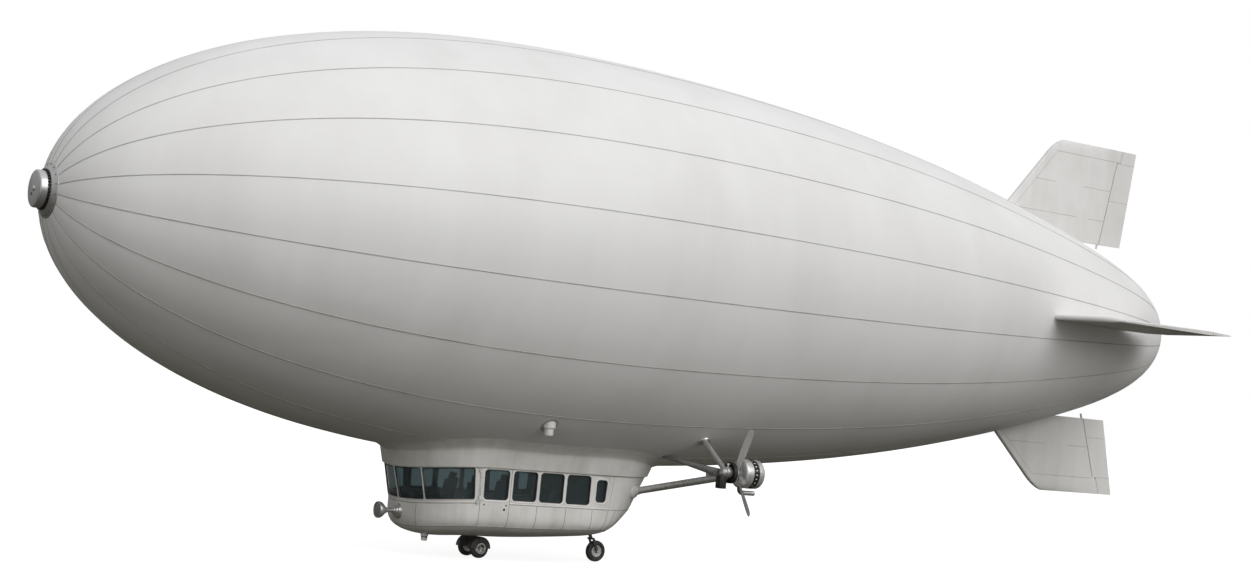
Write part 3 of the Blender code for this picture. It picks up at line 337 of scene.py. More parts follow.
def turned(profile, origin, axis, sides=64, sweep=360.0, start=0.0):
    """Turn an outline of (distance along the axis, radius) points about the axis."""
    axis = Vector(axis).normalized()
    side = Vector((0, 0, 1)) if abs(axis.z) < 0.9 else Vector((1, 0, 0))
    u = axis.cross(side).normalized()
    v = axis.cross(u)
    bm = bmesh.new()
    rows = []
    whole = sweep >= 360.0
    for k in range(sides if whole else sides + 1):
        angle = radians(start + sweep * k / sides)
        out = u * cos(angle) + v * sin(angle)
        rows.append([bm.verts.new(Vector(origin) + axis * h + out * r) for h, r in profile])
    for a, b in list(zip(rows, rows[1:])) + ([(rows[-1], rows[0])] if whole else []):
        for i in range(len(profile)):
            j = (i + 1) % len(profile)
            bm.faces.new((a[i], a[j], b[j], b[i]))
    if not whole:
        bm.faces.new(rows[0])
        bm.faces.new(rows[-1])
    return weld(bm)


def bolt_head(bm, place, axis, radius, high):
    head_line = [(0, 0), (0, radius), (high * 0.7, radius), (high, radius * 0.75), (high, 0)]
    join(bm, turned(head_line, place, axis, 6))


spun_metal = finish("spun aluminium", (0.62, 0.62, 0.61), (0.32, 0.31, 0.28), 0.5, 0.5, 0.01,
                    (0.28, 0.42), 0.75)
black_metal = finish("blackened metal", (0.020, 0.020, 0.019), (0.09, 0.085, 0.07), 0.45, 0.3, 0.01,
                     (0.4, 0.6), 0.5)
flange_line = (
    # distance behind the nose, radius
    (0.30, 0.0), (0.30, 0.52), (0.20, 0.66), (0.155, 0.715), (0.135, 0.722), (0.115, 0.715), (0.10, 0.695),
    (0.075, 0.685), (0.02, 0.60), (-0.01, 0.545), (-0.022, 0.53), (-0.03, 0.505), (-0.03, 0.0),
)
cap_line = (
    (-0.0856, 0.0), (-0.0856, 0.462), (-0.235, 0.462), (-0.255, 0.455), (-0.268, 0.44), (-0.275, 0.42),
    (-0.275, 0.07), (-0.285, 0.062), (-0.305, 0.05), (-0.31, 0.0),
)
for name, node, line in (("mooring_flange", "nose_flange", flange_line),
                         ("mooring_cap", "nose_cap", cap_line)):
    part = piece(name, turned(line, (0, 0, 0), (1, 0, 0), 96), spun_metal)
    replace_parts(part, node)
teeth, tooth_root, tooth_tip = 36, 0.468, 0.508
outline = []
for i in range(teeth):
    for share, r in ((0.0, tooth_root), (0.5, tooth_root), (0.55, tooth_tip), (0.95, tooth_tip)):
        angle = 2 * pi * (i + share) / teeth
        outline.append((r * cos(angle), r * sin(angle)))
ring_bm = skin_over([[(h, *p) for p in outline] for h in (-0.0305, -0.085)])
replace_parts(piece("clamping_ring", ring_bm, black_metal), "nose_toothed_ring")
bolts, bolt_circle = bmesh.new(), 0.64
for angle in turns(16, 0.5):
    bolt_head(bolts, (0.045, bolt_circle * cos(angle), bolt_circle * sin(angle)), (-1, 0, 0), 0.016, 0.016)
bolt_head(bolts, (-0.275, 0.12, -0.13), (-1, 0, 0), 0.035, 0.012)
piece("mooring_bolts", bolts, black_metal)


# Tail: light frames under stretched cloth, each split at its hinge into a fixed fin and a moving flap.
# The solids keep their shape; rib tapes show where the cloth is laced to the frame inside.
def build_rounding():
    """Soften the shading of a solid everywhere but at its real edges."""
    group = bpy.data.node_groups.new("rounding", "GeometryNodeTree")
    group.interface.new_socket("Solid", in_out="INPUT", socket_type="NodeSocketGeometry")
    group.interface.new_socket("Solid", in_out="OUTPUT", socket_type="NodeSocketGeometry")
    given, result = group.nodes.new("NodeGroupInput"), group.nodes.new("NodeGroupOutput")
    welded = put(group, "GeometryNodeMergeByDistance", {}, {"Geometry": given.outputs[0], "Distance": 0.0001})
    soft = put(group, "GeometryNodeSetShadeSmooth", {"domain": "FACE"}, {"Geometry": welded.outputs[0]})
    bend = put(group, "GeometryNodeInputMeshEdgeAngle").outputs["Unsigned Angle"]
    edge = put(group, "FunctionNodeCompare", {"operation": "GREATER_THAN"}, {0: bend, 1: radians(33)})
    crisp = put(group, "GeometryNodeSetShadeSmooth", {"domain": "EDGE"}, {
        "Geometry": soft.outputs[0], "Selection": edge.outputs[0], "Shade Smooth": False})
    group.links.new(crisp.outputs[0], result.inputs[0])
    return group


rounding = build_rounding()


def dress(material, *names):
    """Give a solid of the frame its finish and soft shading."""
    for name in names:
        solid = cad[name]
        if not solid.material_slots:
            solid.data.materials.append(material)
        for holder in solid.material_slots:
            holder.material = material
        solid.modifiers.new("rounding", "NODES").node_group = rounding


fin_cloth = finish("fin cloth", (0.76, 0.75, 0.73), (0.55, 0.53, 0.50), 0.45, 1.6, 0.015, (0.45, 0.6),
                   relief=0.0006, thread=0.004)
rib_tape = finish("rib tape", (0.40, 0.40, 0.39), (0.22, 0.21, 0.20), 0.6, 0.8, 0.01, (0.5, 0.7))
dress(fin_cloth, "fin_top", "fin_bottom", "fin_port", "fin_starboard", "rudder_top", "rudder_bottom",
      "elevator_port", "elevator_starboard")
surfaces = (
    # flap, sign, upright; leading edge, hinge and trailing edge, each by its inner and outer end
    ("rudder_top", 1, True, ((31.10, 2.95), (33.98, 6.24)), ((36.23, 2.82), (36.86, 5.83)),
     ((37.30, 2.64), (37.80, 6.14))),
    ("rudder_bottom", -1, True, ((31.40, 2.95), (34.24, 5.46)), ((36.14, 2.82), (36.88, 4.93)),
     ((37.17, 2.74), (37.82, 5.20))),
) + tuple(
    (flap, sign, False, ((30.10, 3.00), (31.04, 5.88)), ((35.66, 3.10), (35.36, 5.52)),
     ((36.66, 3.10), (36.34, 5.88))) for flap, sign in (("elevator_port", -1), ("elevator_starboard", 1)))
nose_half, hinge_half, trail_half = 0.085, 0.058, 0.012
edge_tape = 0.34                         # the leading edge's stiff nose runs back to here
inner_end = 3.35                         # the edge tape starts this far from the hull's axis
rib_spacing = (0.0, 1.03, 2.08)          # ribs, counted inward from the hinge's outer end


def line_at(line, s):
    a, b = line
    return a[0] + (b[0] - a[0]) * (s - a[1]) / (b[1] - a[1])


def fin_half(x, lead, hinge, trail):
    """Half thickness of the tail's section at a station."""
    if x < lead + nose_half:
        return nose_half * sqrt(max(0.0, 1 - (1 - (x - lead) / nose_half) ** 2))
    if x < hinge:
        return nose_half + (hinge_half - nose_half) * (x - lead - nose_half) / (hinge - lead - nose_half)
    return hinge_half + (trail_half - hinge_half) * (x - hinge) / (trail - hinge)


def rib_strip(bm, surface, start, end, half_width, steps=12):
    """A flat tape between two (station, span) points, on both faces of the surface."""
    sign, upright, lines = surface
    along = Vector((end[0] - start[0], end[1] - start[1])).normalized()
    for face in (-1, 1):
        rows = []
        for k in range(steps + 1):
            x, s = (start[i] + (end[i] - start[i]) * k / steps for i in (0, 1))
            row = []
            for side in (-half_width, half_width):
                px, ps = x - along.y * side, s + along.x * side
                half = fin_half(px, *(line_at(line, ps) for line in lines))
                for proud in (-0.004, 0.002):
                    t = face * (half + proud)
                    row.append((px, t, sign * ps) if upright else (px, sign * ps, t))
            rows.append([row[0], row[1], row[3], row[2]])
        join(bm, skin_over(rows))


for flap, sign, upright, *lines in surfaces:
    surface = (sign, upright, lines)
    lead, hinge, trail = lines
    fixed, moving = bmesh.new(), bmesh.new()
    tip = hinge[1][1]
    for s in (tip - inward for inward in rib_spacing):
        if s > inner_end + 0.05:
            rib_strip(fixed, surface, (line_at(lead, s) + edge_tape, s), (line_at(hinge, s) - 0.03, s), 0.007)
    rib_strip(fixed, surface, (line_at(lead, inner_end) + edge_tape, inner_end),
              (line_at(lead, tip) + edge_tape, tip), 0.005, 20)
    for s in (tip - 0.03, tip - 1.35):
        rib_strip(moving, surface, (line_at(hinge, s) + 0.045, s), (line_at(trail, s) - 0.012, s), 0.006)
    word = flap.split("_")[1]
    piece("rib_tapes_" + word, fixed, rib_tape)
    piece("flap_tapes_" + word, moving, rib_tape, flap)


# Relief valve: a white spun housing on a short neck, let into the port underside through a cloth collar.
# The collar is a round patch laid on the hull.
valve_paint = finish("valve paint", (0.80, 0.79, 0.77), (0.45, 0.44, 0.40), 0.4, 0.2, 0.01, (0.3, 0.45))
dress(valve_paint, "relief_valve")
collar_cloth = finish("collar cloth", (0.50, 0.50, 0.48), (0.30, 0.29, 0.27), 0.6, 0.4, 0.01, (0.5, 0.65))
valve_x, valve_y, collar_radius, collar_thick = 12.86, -3.34, 0.24, 0.006
rings = []
for r, proud in ((0.0, collar_thick), (collar_radius * 0.9, collar_thick), (collar_radius, 0.0),
                 (collar_radius, -0.012)):
    ring = []
    for angle in turns(32):
        x, y = valve_x + r * cos(angle), valve_y + r * sin(angle)
        ring.append((x, y, -sqrt((hull_radius(x) + proud) ** 2 - y ** 2)))
    rings.append(ring)
piece("valve_collar", weld(skin_over(rings)), collar_cloth)


# Gondola shell: light glued panels butted edge to edge over a frame, then filled and painted. The walls
# carry the windows, the lower panels turn under into a dished belly, and a skirt coves up to the envelope.
roof, belt, chine, keel = -5.86, -6.80, -7.43, -7.80
nose_flat, tail_flat = 12.10, 15.50      # the flat sides run between these stations
nose_deep, tail_deep, half_wide = 1.62, 2.00, 2.04
sheer = 0.19                             # the lines drop this much round the nose
keel_rise = 0.15                         # the belly climbs this much towards the tail
wall_thick = 0.05
fullness_power = 4.5                     # how squarely the sides turn under
quarter_steps = 240


def plan_at(z):
    """Nose station, tail station and half width of the gondola at a height."""
    if z >= belt:
        share = min(max((roof - z) / (roof - belt), 0.0), 1.0)
        return 10.22 + 0.26 * share, 18.05 - 0.55 * share, 2.05 - 0.01 * share
    down = min((belt - z) / (belt - keel), 1.0)
    full = sqrt(1 - down ** fullness_power)
    return nose_flat - nose_deep * full, tail_flat + 1.1 * (1 - down) + 0.9 * full, half_wide * full


def quarter(deep):
    """Distance walked along a quarter of the plan's ellipse from its tip, at equal turns."""
    walked = [0.0]
    for k in range(quarter_steps):
        a, b = (pi / 2 * (k + i) / quarter_steps for i in (0, 1))
        walked.append(walked[-1] + hypot(deep * (cos(a) - cos(b)),
                                              half_wide * (sin(b) - sin(a))))
    return walked


nose_walk, tail_walk = quarter(nose_deep), quarter(tail_deep)
side_at = nose_walk[-1]
tail_at = side_at + tail_flat - nose_flat
end_at = tail_at + tail_walk[-1]


def turn_from(walked, distance):
    k = min(max(bisect.bisect_right(walked, distance), 1), quarter_steps)
    return pi / 2 * (k - 1 + (distance - walked[k - 1]) / (walked[k] - walked[k - 1])) / quarter_steps


def station(x):
    """Distance along the belt, from the nose's centre, of the side point at station x."""
    if x >= nose_flat:
        return side_at + x - nose_flat
    k = acos((nose_flat - x) / nose_deep) / (pi / 2) * quarter_steps
    low = int(k)
    return nose_walk[low] + (nose_walk[low + 1] - nose_walk[low]) * (k - low)


def shell(s, z, depth=0.0):
    """A point of the skin: distance from the nose's centre along the belt (port negative), height, and
    depth under the skin."""
    nose_x, tail_x, half = plan_at(z)
    far = min(abs(s), end_at)
    droop = 0.0
    if far < side_at:
        turn = turn_from(nose_walk, far)
        c, s_turn = cos(turn), sin(turn)
        x, y = nose_flat - (nose_flat - nose_x) * c, half * s_turn
        out = Vector((-c / nose_deep, s_turn / half_wide)).normalized()
        fade = 1.0 if z >= belt else half / half_wide
        droop = sheer * c * c * fade
    elif far <= tail_at:
        x, y, out = nose_flat + far - side_at, half, Vector((0.0, 1.0))
    else:
        turn = turn_from(tail_walk, end_at - far)
        x, y = tail_flat + (tail_x - tail_flat) * cos(turn), half * sin(turn)
        out = Vector((cos(turn) / tail_deep, sin(turn) / half_wide)).normalized()
    low = max(0.0, (belt - z) / (belt - keel))
    droop -= keel_rise * low ** 2 * min(max((x - 13.0) / 2.8, 0.0), 1.0) ** 1.5
    return Vector((x - out.x * depth, copysign(y - out.y * depth, s), z - droop))


def window(s0, s1, z0, z1, radius):
    """A window's outline with round corners, its straight edges stepped off."""
    corners = []
    for cs, cz, first in ((s1 - radius, z1 - radius, 0), (s0 + radius, z1 - radius, 90),
                          (s0 + radius, z0 + radius, 180), (s1 - radius, z0 + radius, 270)):
        for k in range(7):
            angle = radians(first + 15 * k)
            corners.append(Vector((cs + radius * cos(angle), cz + radius * sin(angle))))
    outline = []
    for a, b in zip(corners, corners[1:] + corners[:1]):
        parts = max(1, ceil((b - a).length / 0.08))
        outline += [a.lerp(b, k / parts) for k in range(parts)]
    return outline


def shell_panel(s0, s1, z0, z1, holes=(), shallow=0.0, deep=wall_thick):
    """A wall panel: drawn flat with its holes, cut finely, given its thickness and bent onto the skin."""
    flat = bmesh.new()
    edges = []
    frame_line = [Vector((s0, z0)), Vector((s1, z0)), Vector((s1, z1)), Vector((s0, z1))]
    for outline in [frame_line] + list(holes):
        corners = [flat.verts.new((p.x, shallow, p.y)) for p in outline]
        edges += [flat.edges.new(pair) for pair in zip(corners, corners[1:] + corners[:1])]
    bmesh.ops.triangle_fill(flat, use_beauty=True, edges=edges)
    for axis, low, high in ((0, s0, s1), (2, z0, z1)):
        count = ceil((high - low) / 0.09)
        for k in range(1, count):
            at, across = Vector(), Vector()
            at[axis], across[axis] = low + (high - low) * k / count, 1.0
            bmesh.ops.bisect_plane(flat, geom=flat.verts[:] + flat.edges[:] + flat.faces[:],
                                   plane_co=at, plane_no=across)
    grown = bmesh.ops.extrude_face_region(flat, geom=flat.faces[:])
    moved = [g for g in grown["geom"] if isinstance(g, bmesh.types.BMVert)]
    bmesh.ops.translate(flat, verts=moved, vec=(0, deep - shallow, 0))
    for v in flat.verts:
        v.co = shell(v.co.x, v.co.z, v.co.y)
    return flat


sill, head = -6.70, -5.90
pane_foot, pane_top = -6.70, roof - 0.015
mullion, side_mullion, pane_end = 0.030, 1.05, 11.65
side_windows = ((11.87, 12.61), (12.73, 13.49), (13.58, 14.34), (14.43, 15.21))
panel_gap = 0.010
s_front, s_rear = nose_walk[quarter_steps * 7 // 8], station(12.670)
s_seam = tail_at + tail_walk[-1] - tail_walk[quarter_steps * 7 // 8]


def side_window(x0, x1, side, small=0.0):
    s0, s1 = sorted((side * station(x0), side * station(x1)))
    return window(s0, s1, sill + small, head - small, 0.10)


panes = []
for side in (-1, 1):
    for a, b in ((mullion / 2, side_mullion - mullion / 2), (side_mullion + mullion / 2, station(pane_end))):
        s0, s1 = sorted((side * a, side * b))
        panes.append(window(s0, s1, pane_foot, pane_top, 0.055))
door_window = side_window(*side_windows[0], -1)
port_windows = [side_window(*ends, -1) for ends in side_windows[1:]] + [side_window(15.40, 15.72, -1, 0.09)]
starboard_windows = [side_window(*ends, 1) for ends in side_windows] + [side_window(15.40, 15.72, 1, 0.09)]
gondola_paint = finish("gondola paint", (0.78, 0.765, 0.73), (0.40, 0.385, 0.34), 0.40, 1.1, 0.012,
                       (0.28, 0.42), relief=0.0003, coat=0.25)
edge = panel_gap / 2
shell_parts = (
    # piece, node it stands for, body, from, to, foot, top, holes
    ("windscreen_frame_panel", "windscreen_frame", "airship", -s_front + edge, s_front - edge, belt, roof,
     panes),
    ("side_panel_port", "side_wall_port", "airship", -s_seam + edge, -s_rear - edge, belt, roof,
     port_windows),
    ("side_panel_starboard", "side_wall_starboard", "airship", s_front + edge, s_seam - edge, belt, roof,
     starboard_windows),
    ("nose_panel", "lower_nose", "airship", -s_front + edge, s_front - edge, chine, belt, ()),
    ("lower_panel_port", "lower_side_port", "airship", -s_seam + edge, -s_rear - edge, chine, belt, ()),
    ("lower_panel_starboard", "lower_side_starboard", "airship", s_front + edge, s_seam - edge, chine, belt,
     ()),
    ("door_panel", "cabin_door", "cabin_door", -s_rear + edge, -s_front - edge, chine, roof, [door_window]),
)
hinge_x, hinge_y = -7.61177 - nose_tip.x, -2.03661 - nose_tip.y
for name, node, body, s0, s1, z0, z1, holes in shell_parts:
    bm = shell_panel(s0, s1, z0 + edge, z1 - edge, holes)
    if node == "cabin_door":
        for foot, top in ((roof - 0.25, roof - 0.14), (belt + 0.09, belt + 0.20)):
            high = top - foot
            eye_line = [(0, 0.0105), (0, 0.017), (high, 0.017), (high, 0.0105)]
            join(bm, turned(eye_line, (hinge_x, hinge_y, foot), (0, 0, 1), 24))
            arm = bmesh.new()
            bmesh.ops.create_cube(arm, size=1.0, matrix=Matrix.Translation((
                hinge_x + 0.06, hinge_y, (foot + top) / 2)) @ Matrix.Diagonal((0.10, 0.012, high, 1)))
            bmesh.ops.bevel(arm, geom=arm.edges[:], offset=0.003, segments=2, affect="EDGES")
            join(bm, arm)
    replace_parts(piece(name, bm, gondola_paint, body), node)
tail_bm = shell_panel(s_seam + edge, end_at, chine + edge, roof - edge)
join(tail_bm, shell_panel(-end_at, -s_seam - edge, chine + edge, roof - edge))
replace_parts(piece("tail_panel", tail_bm, gondola_paint), "tail_shell")
marks = [end_at * (k / 100 - 1) for k in range(200)]
belly_rings = []
steepest = acos(plan_at(chine - edge)[2] / half_wide)
for k in range(19):
    full = cos(steepest + (radians(89) - steepest) * k / 18)
    z = belt - (belt - keel) * (1 - full ** 2) ** (1 / fullness_power)
    belly_rings.append([shell(s, z) for s in marks])
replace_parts(piece("belly_dish", skin_over(belly_rings), gondola_paint), "belly_pan")


def skirt_ring(out, share, inward=0.0):
    ring = [shell(s, roof, inward - out) for s in marks]
    for p in ring:
        under = -sqrt(hull_radius(p.x) ** 2 - p.y ** 2)
        p.z = under + (p.z - under) * share
    return ring


skirt_line = (
    # moved out from the roof line, share of the way down from the envelope
    (0.46, -0.3), (0.46, 0.0), (0.41, 0.03), (0.33, 0.065), (0.265, 0.11), (0.205, 0.17), (0.185, 0.20),
    (0.165, 0.23), (0.150, 0.35), (0.130, 0.50), (0.110, 0.65), (0.090, 0.80), (0.072, 0.94), (0.066, 0.98),
    (0.050, 1.0), (0.0, 1.0),
)
skirt_rings = [skirt_ring(*row) for row in skirt_line] + [skirt_ring(*row, 0.04) for row in skirt_line[::-1]]
skirt_bm = weld(skin_over(skirt_rings + skirt_rings[:1], ends=False))
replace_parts(piece("skirt_cove", skirt_bm, gondola_paint), "gondola_skirt")


# Trim of the gondola: a moulded rim and a black rubber gasket round each opening, a sill bead, and dark
# sealant in the joints between the panels.
rubber = finish("gasket rubber", (0.022, 0.022, 0.022), (0.12, 0.115, 0.10), 0.35, 0.3, 0.008, (0.5, 0.7))
rim_paint = finish("window rim paint", (0.84, 0.83, 0.80), (0.42, 0.40, 0.36), 0.35, 0.5, 0.01,
                   (0.25, 0.38), coat=0.3)


def edging(bm, outline, profile):
    """Run a strip round an opening: the profile is (outward from the opening, depth under the skin)."""
    rings = []
    for out, depth in profile + profile[:1]:
        ring = []
        for i, p in enumerate(outline):
            along = (outline[(i + 1) % len(outline)] - outline[i - 1]).normalized()
            ring.append(shell(p.x + along.y * out, p.y - along.x * out, depth))
        rings.append(ring)
    join(bm, weld(skin_over(rings, ends=False)))


def bead(bm, points, half, proud):
    """A flat strip along (distance, height) points of the skin."""
    rows = []
    for i, p in enumerate(points):
        along = (points[min(i + 1, len(points) - 1)] - points[max(i - 1, 0)]).normalized()
        rows.append([shell(p.x + along.y * side * half, p.y - along.x * side * half, depth)
                     for side, depth in ((-1, 0.003), (-1, -proud * 0.6), (-0.6, -proud), (0.6, -proud),
                                         (1, -proud * 0.6), (1, 0.003))])
    join(bm, skin_over(rows))


def run(s0, z0, s1, z1):
    count = max(2, ceil(hypot(s1 - s0, z1 - z0) / 0.07))
    return [Vector((s0 + (s1 - s0) * k / count, z0 + (z1 - z0) * k / count)) for k in range(count + 1)]


opening_groups = (
    # name, body, rim width, outlines
    ("windscreen", "airship", 0.013, panes),
    ("port_windows", "airship", 0.048, port_windows),
    ("starboard_windows", "airship", 0.048, starboard_windows),
    ("door_window", "cabin_door", 0.048, [door_window]),
)
gasket_line = [(0.0, 0.0), (-0.008, -0.004), (-0.020, 0.002), (-0.026, 0.012), (-0.026, 0.0295),
               (0.0, 0.0295)]
for name, body, wide, outlines in opening_groups:
    rim_line = [(0.001, 0.012), (0.001, -0.006), (wide * 0.25, -0.012), (wide * 0.7, -0.012), (wide, -0.006),
                (wide, 0.004)]
    rims, gaskets = bmesh.new(), bmesh.new()
    for outline in outlines:
        edging(rims, outline, rim_line)
        edging(gaskets, outline, gasket_line)
    piece(name + "_rims", rims, rim_paint, body)
    piece(name + "_gaskets", gaskets, rubber, body)
sealant = bmesh.new()
seal_half, seal_proud = 0.005, 0.0015
side_joints = [side * station(x) for x in (13.54, 14.47, 15.33, 16.2) for side in (-1, 1)]
for s in side_joints + [-0.75, 0.75, s_front, s_seam, -s_seam, s_seam + 0.75, -s_seam - 0.75]:
    bead(sealant, run(s, belt - 0.02, s, chine + 0.02), seal_half, seal_proud)
for z in (belt, chine):
    for s0, s1 in ((-end_at, -s_rear), (-s_front, end_at)):
        bead(sealant, run(s0, z, s1, z), seal_half, seal_proud)
piece("panel_sealant", sealant, rubber)
door_seal = bmesh.new()
for ends in ((-s_rear, chine, -s_rear, roof - 0.02), (-s_front, chine, -s_front, roof - 0.02),
             (-s_rear, chine, -s_front, chine)):
    bead(door_seal, run(*ends), 0.012, -0.012)
piece("door_seal", door_seal, rubber)
sills = bmesh.new()
for s0, s1 in ((-s_seam, -s_rear - 0.01), (-s_front, s_seam)):
    bead(sills, run(s0, sill - 0.075, s1, sill - 0.075), 0.016, 0.008)
piece("sill_beads", sills, rim_paint)
studs = bmesh.new()
for x in (11.90, 12.57):
    foot = shell(-station(x), belt - 0.03)
    bolt_head(studs, foot, (0, -1, 0), 0.022, 0.014)
handle = shell(-station(12.52), belt - 0.14)
join(studs, turned([(0, 0), (0, 0.03), (0.012, 0.03), (0.02, 0.024), (0.02, 0)], handle, (0, -1, 0), 24))
piece("door_studs", studs, black_metal, "cabin_door")


# Glazing: bent acrylic sheet, tinted blue-green, bedded against the gaskets from inside.
def glass_finish(name, color):
    made = finish(name, color, (0.50, 0.50, 0.46), 0.10, 0.6, 0.02, (0.02, 0.06), relief=0.0001)
    shader = made.node_tree.nodes["Principled BSDF"]
    shader.inputs["Transmission Weight"].default_value = 0.94
    shader.inputs["IOR"].default_value = 1.35
    return made


tinted = glass_finish("tinted acrylic", (0.40, 0.50, 0.52))
end_pane = station(pane_end) + 0.04
glass_foot, glass_top = sill - 0.05, roof - 0.03
glazing = (
    # piece, node, body, from, to, foot, top
    ("windscreen_sheet", "windscreen_glazing", "airship", -end_pane, end_pane, glass_foot, roof - 0.004),
    ("side_sheet_port", "side_glazing_port", "airship", -s_seam + 0.03, -station(12.715), glass_foot,
     glass_top),
    ("side_sheet_starboard", "side_glazing_starboard", "airship", station(11.82), s_seam - 0.03, glass_foot,
     glass_top),
    ("door_sheet", "door_glazing", "cabin_door", -s_rear + 0.03, -s_front - 0.05, glass_foot, glass_top),
)
for name, node, body, s0, s1, z0, z1 in glazing:
    sheet = shell_panel(s0, s1, z0, z1, (), wall_thick + 0.002, wall_thick + 0.008)
    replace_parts(piece(name, sheet, tinted, body), node)


# Cabin: moulded ceiling and deck, a black console under the windscreen, and two pairs of seats. Each seat
# is a moulded shell with a foam cushion, a back cushion and a headrest in woven cloth.
for node, name, color, soil, wear in (
        ("cabin_ceiling", "ceiling liner", (0.22, 0.22, 0.21), (0.12, 0.12, 0.11),
         (0.3, 0.8, 0.01, (0.5, 0.7))),
        ("cabin_floor", "deck paint", (0.16, 0.16, 0.155), (0.08, 0.08, 0.07), (0.5, 0.5, 0.01, (0.5, 0.7))),
        ("control_console", "console plastic", (0.05, 0.05, 0.05), (0.12, 0.12, 0.11),
         (0.3, 0.3, 0.004, (0.4, 0.6)))):
    dress(finish(name, color, soil, *wear), node)
seat_cloth = finish("seat cloth", (0.085, 0.10, 0.105), (0.16, 0.16, 0.15), 0.3, 0.3, 0.01, (0.7, 0.9),
                    thread=0.003)
seat_plastic = finish("seat shell plastic", (0.07, 0.07, 0.07), (0.14, 0.14, 0.13), 0.3, 0.3, 0.01,
                      (0.4, 0.6))
deck = chine + 0.045


def cushion(centre, size, lean, crown):
    """A foam block whose faces crown and whose sides pull in between its corners."""
    bm = bmesh.new()
    bmesh.ops.create_cube(bm, size=2.0)
    bmesh.ops.subdivide_edges(bm, edges=bm.edges[:], cuts=11, use_grid_fill=True)
    turned_by = Matrix.Rotation(radians(lean), 3, "Y")
    for v in bm.verts:
        p = v.co.copy()
        full = [1 - abs(c) ** 3 for c in p]
        for axis in range(3):
            others = full[(axis + 1) % 3] * full[(axis + 2) % 3]
            p[axis] *= 1.0 - crown * (1 - others)
        radius = max(abs(c) for c in v.co)
        p = p.lerp(p.normalized() * radius, 0.12)
        v.co = Vector(centre) + turned_by @ Vector(c * h / 2 for c, h in zip(p, size))
    return bm


def bevelled(low, high, radius, placed=Matrix()):
    """A block with rounded edges between two corners, then turned and moved to its place."""
    bm = bmesh.new()
    size = Vector(high) - Vector(low)
    bmesh.ops.create_cube(bm, size=1.0, matrix=Matrix.Translation((Vector(low) + Vector(high)) / 2)
                          @ Matrix.Diagonal((*size, 1.0)))
    bmesh.ops.bevel(bm, geom=bm.edges[:], offset=radius, segments=4, profile=0.5, affect="EDGES")
    bmesh.ops.transform(bm, verts=bm.verts, matrix=placed)
    return bm


recline = 11
for name, x, y in (("pilot_seat_port", 11.72, -0.62), ("pilot_seat_starboard", 11.72, 0.62),
                   ("rear_seat_port", 13.75, -1.20), ("rear_seat_starboard", 13.75, 1.20)):
    mould = bevelled((x + 0.02, y - 0.20, deck + 0.001), (x + 0.38, y + 0.20, deck + 0.28), 0.03)
    join(mould, bevelled((x - 0.02, y - 0.25, deck + 0.27), (x + 0.60, y + 0.25, deck + 0.32), 0.02))
    join(mould, bevelled((-0.02, -0.24, -0.40), (0.02, 0.24, 0.40), 0.018, Matrix.Translation(
        (x + 0.67, y, deck + 0.70)) @ Matrix.Rotation(radians(recline), 4, "Y")))
    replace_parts(piece(name + "_shell", mould, seat_plastic), name)
    for part, centre, size, lean, crown in (
            ("cushion", (x + 0.26, y, deck + 0.39), (0.58, 0.50, 0.15), 0, 0.05),
            ("back", (x + 0.585, y, deck + 0.74), (0.13, 0.48, 0.62), recline, 0.05),
            ("headrest", (x + 0.69, y, deck + 1.13), (0.10, 0.30, 0.20), recline, 0.06)):
        foam = cushion(centre, size, lean, crown)
        soft = piece("%s_%s" % (name, part), foam, seat_cloth)


# Nose lamp, belly stub and drain: a spun lamp body on a stem in front of the gondola, a round housing
# under the nose with a black lens, and a drain spigot under the tail.
lamp_at, stub_at = (0, 0, -7.25), (11.15, -0.35, 0)
lamp_line = (
    # distance behind the nose, radius
    (9.845, 0.192), (9.835, 0.205), (9.84, 0.217), (9.86, 0.223), (9.90, 0.221), (9.94, 0.208), (9.98, 0.183),
    (10.02, 0.150), (10.06, 0.112), (10.10, 0.083), (10.15, 0.064), (10.22, 0.056), (10.30, 0.055),
    (10.31, 0.085), (10.345, 0.090), (10.35, 0.140), (10.39, 0.148), (10.395, 0.190), (10.43, 0.200),
    (10.75, 0.200), (10.75, 0.0), (10.00, 0.0), (9.90, 0.06), (9.87, 0.192),
)
lamp_body = turned(lamp_line, lamp_at, (1, 0, 0))
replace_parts(piece("lamp_body", lamp_body, spun_metal), "nose_lamp")
lens_line = [(9.85, 0.0), (9.852, 0.10), (9.858, 0.190), (9.866, 0.190), (9.866, 0.0)]
lens_grey = finish("lamp lens", (0.22, 0.22, 0.215), (0.10, 0.10, 0.09), 0.4, 0.15, 0.01, (0.10, 0.2),
                   coat=0.6)
piece("lamp_lens", turned(lens_line, lamp_at, (1, 0, 0)), lens_grey)
stub_line = (
    # height, radius
    (-7.985, 0.0), (-7.985, 0.060), (-7.975, 0.078), (-7.95, 0.085), (-7.86, 0.085), (-7.85, 0.105),
    (-7.70, 0.105), (-7.70, 0.0),
)
stub_body = turned(stub_line, stub_at, (0, 0, 1), 40)
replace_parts(piece("stub_housing", stub_body, rim_paint), "belly_stub")
band_line = [(-7.895, 0.080), (-7.895, 0.089), (-7.870, 0.089), (-7.870, 0.080)]
piece("stub_band", turned(band_line, stub_at, (0, 0, 1), 40), rubber)
drain_line = [(-7.66, 0.0), (-7.66, 0.012), (-7.60, 0.012), (-7.60, 0.022), (-7.20, 0.022), (-7.20, 0.0)]
piece("drain_spigot", turned(drain_line, (16.55, 0, 0), (0, 0, 1), 16), spun_metal)


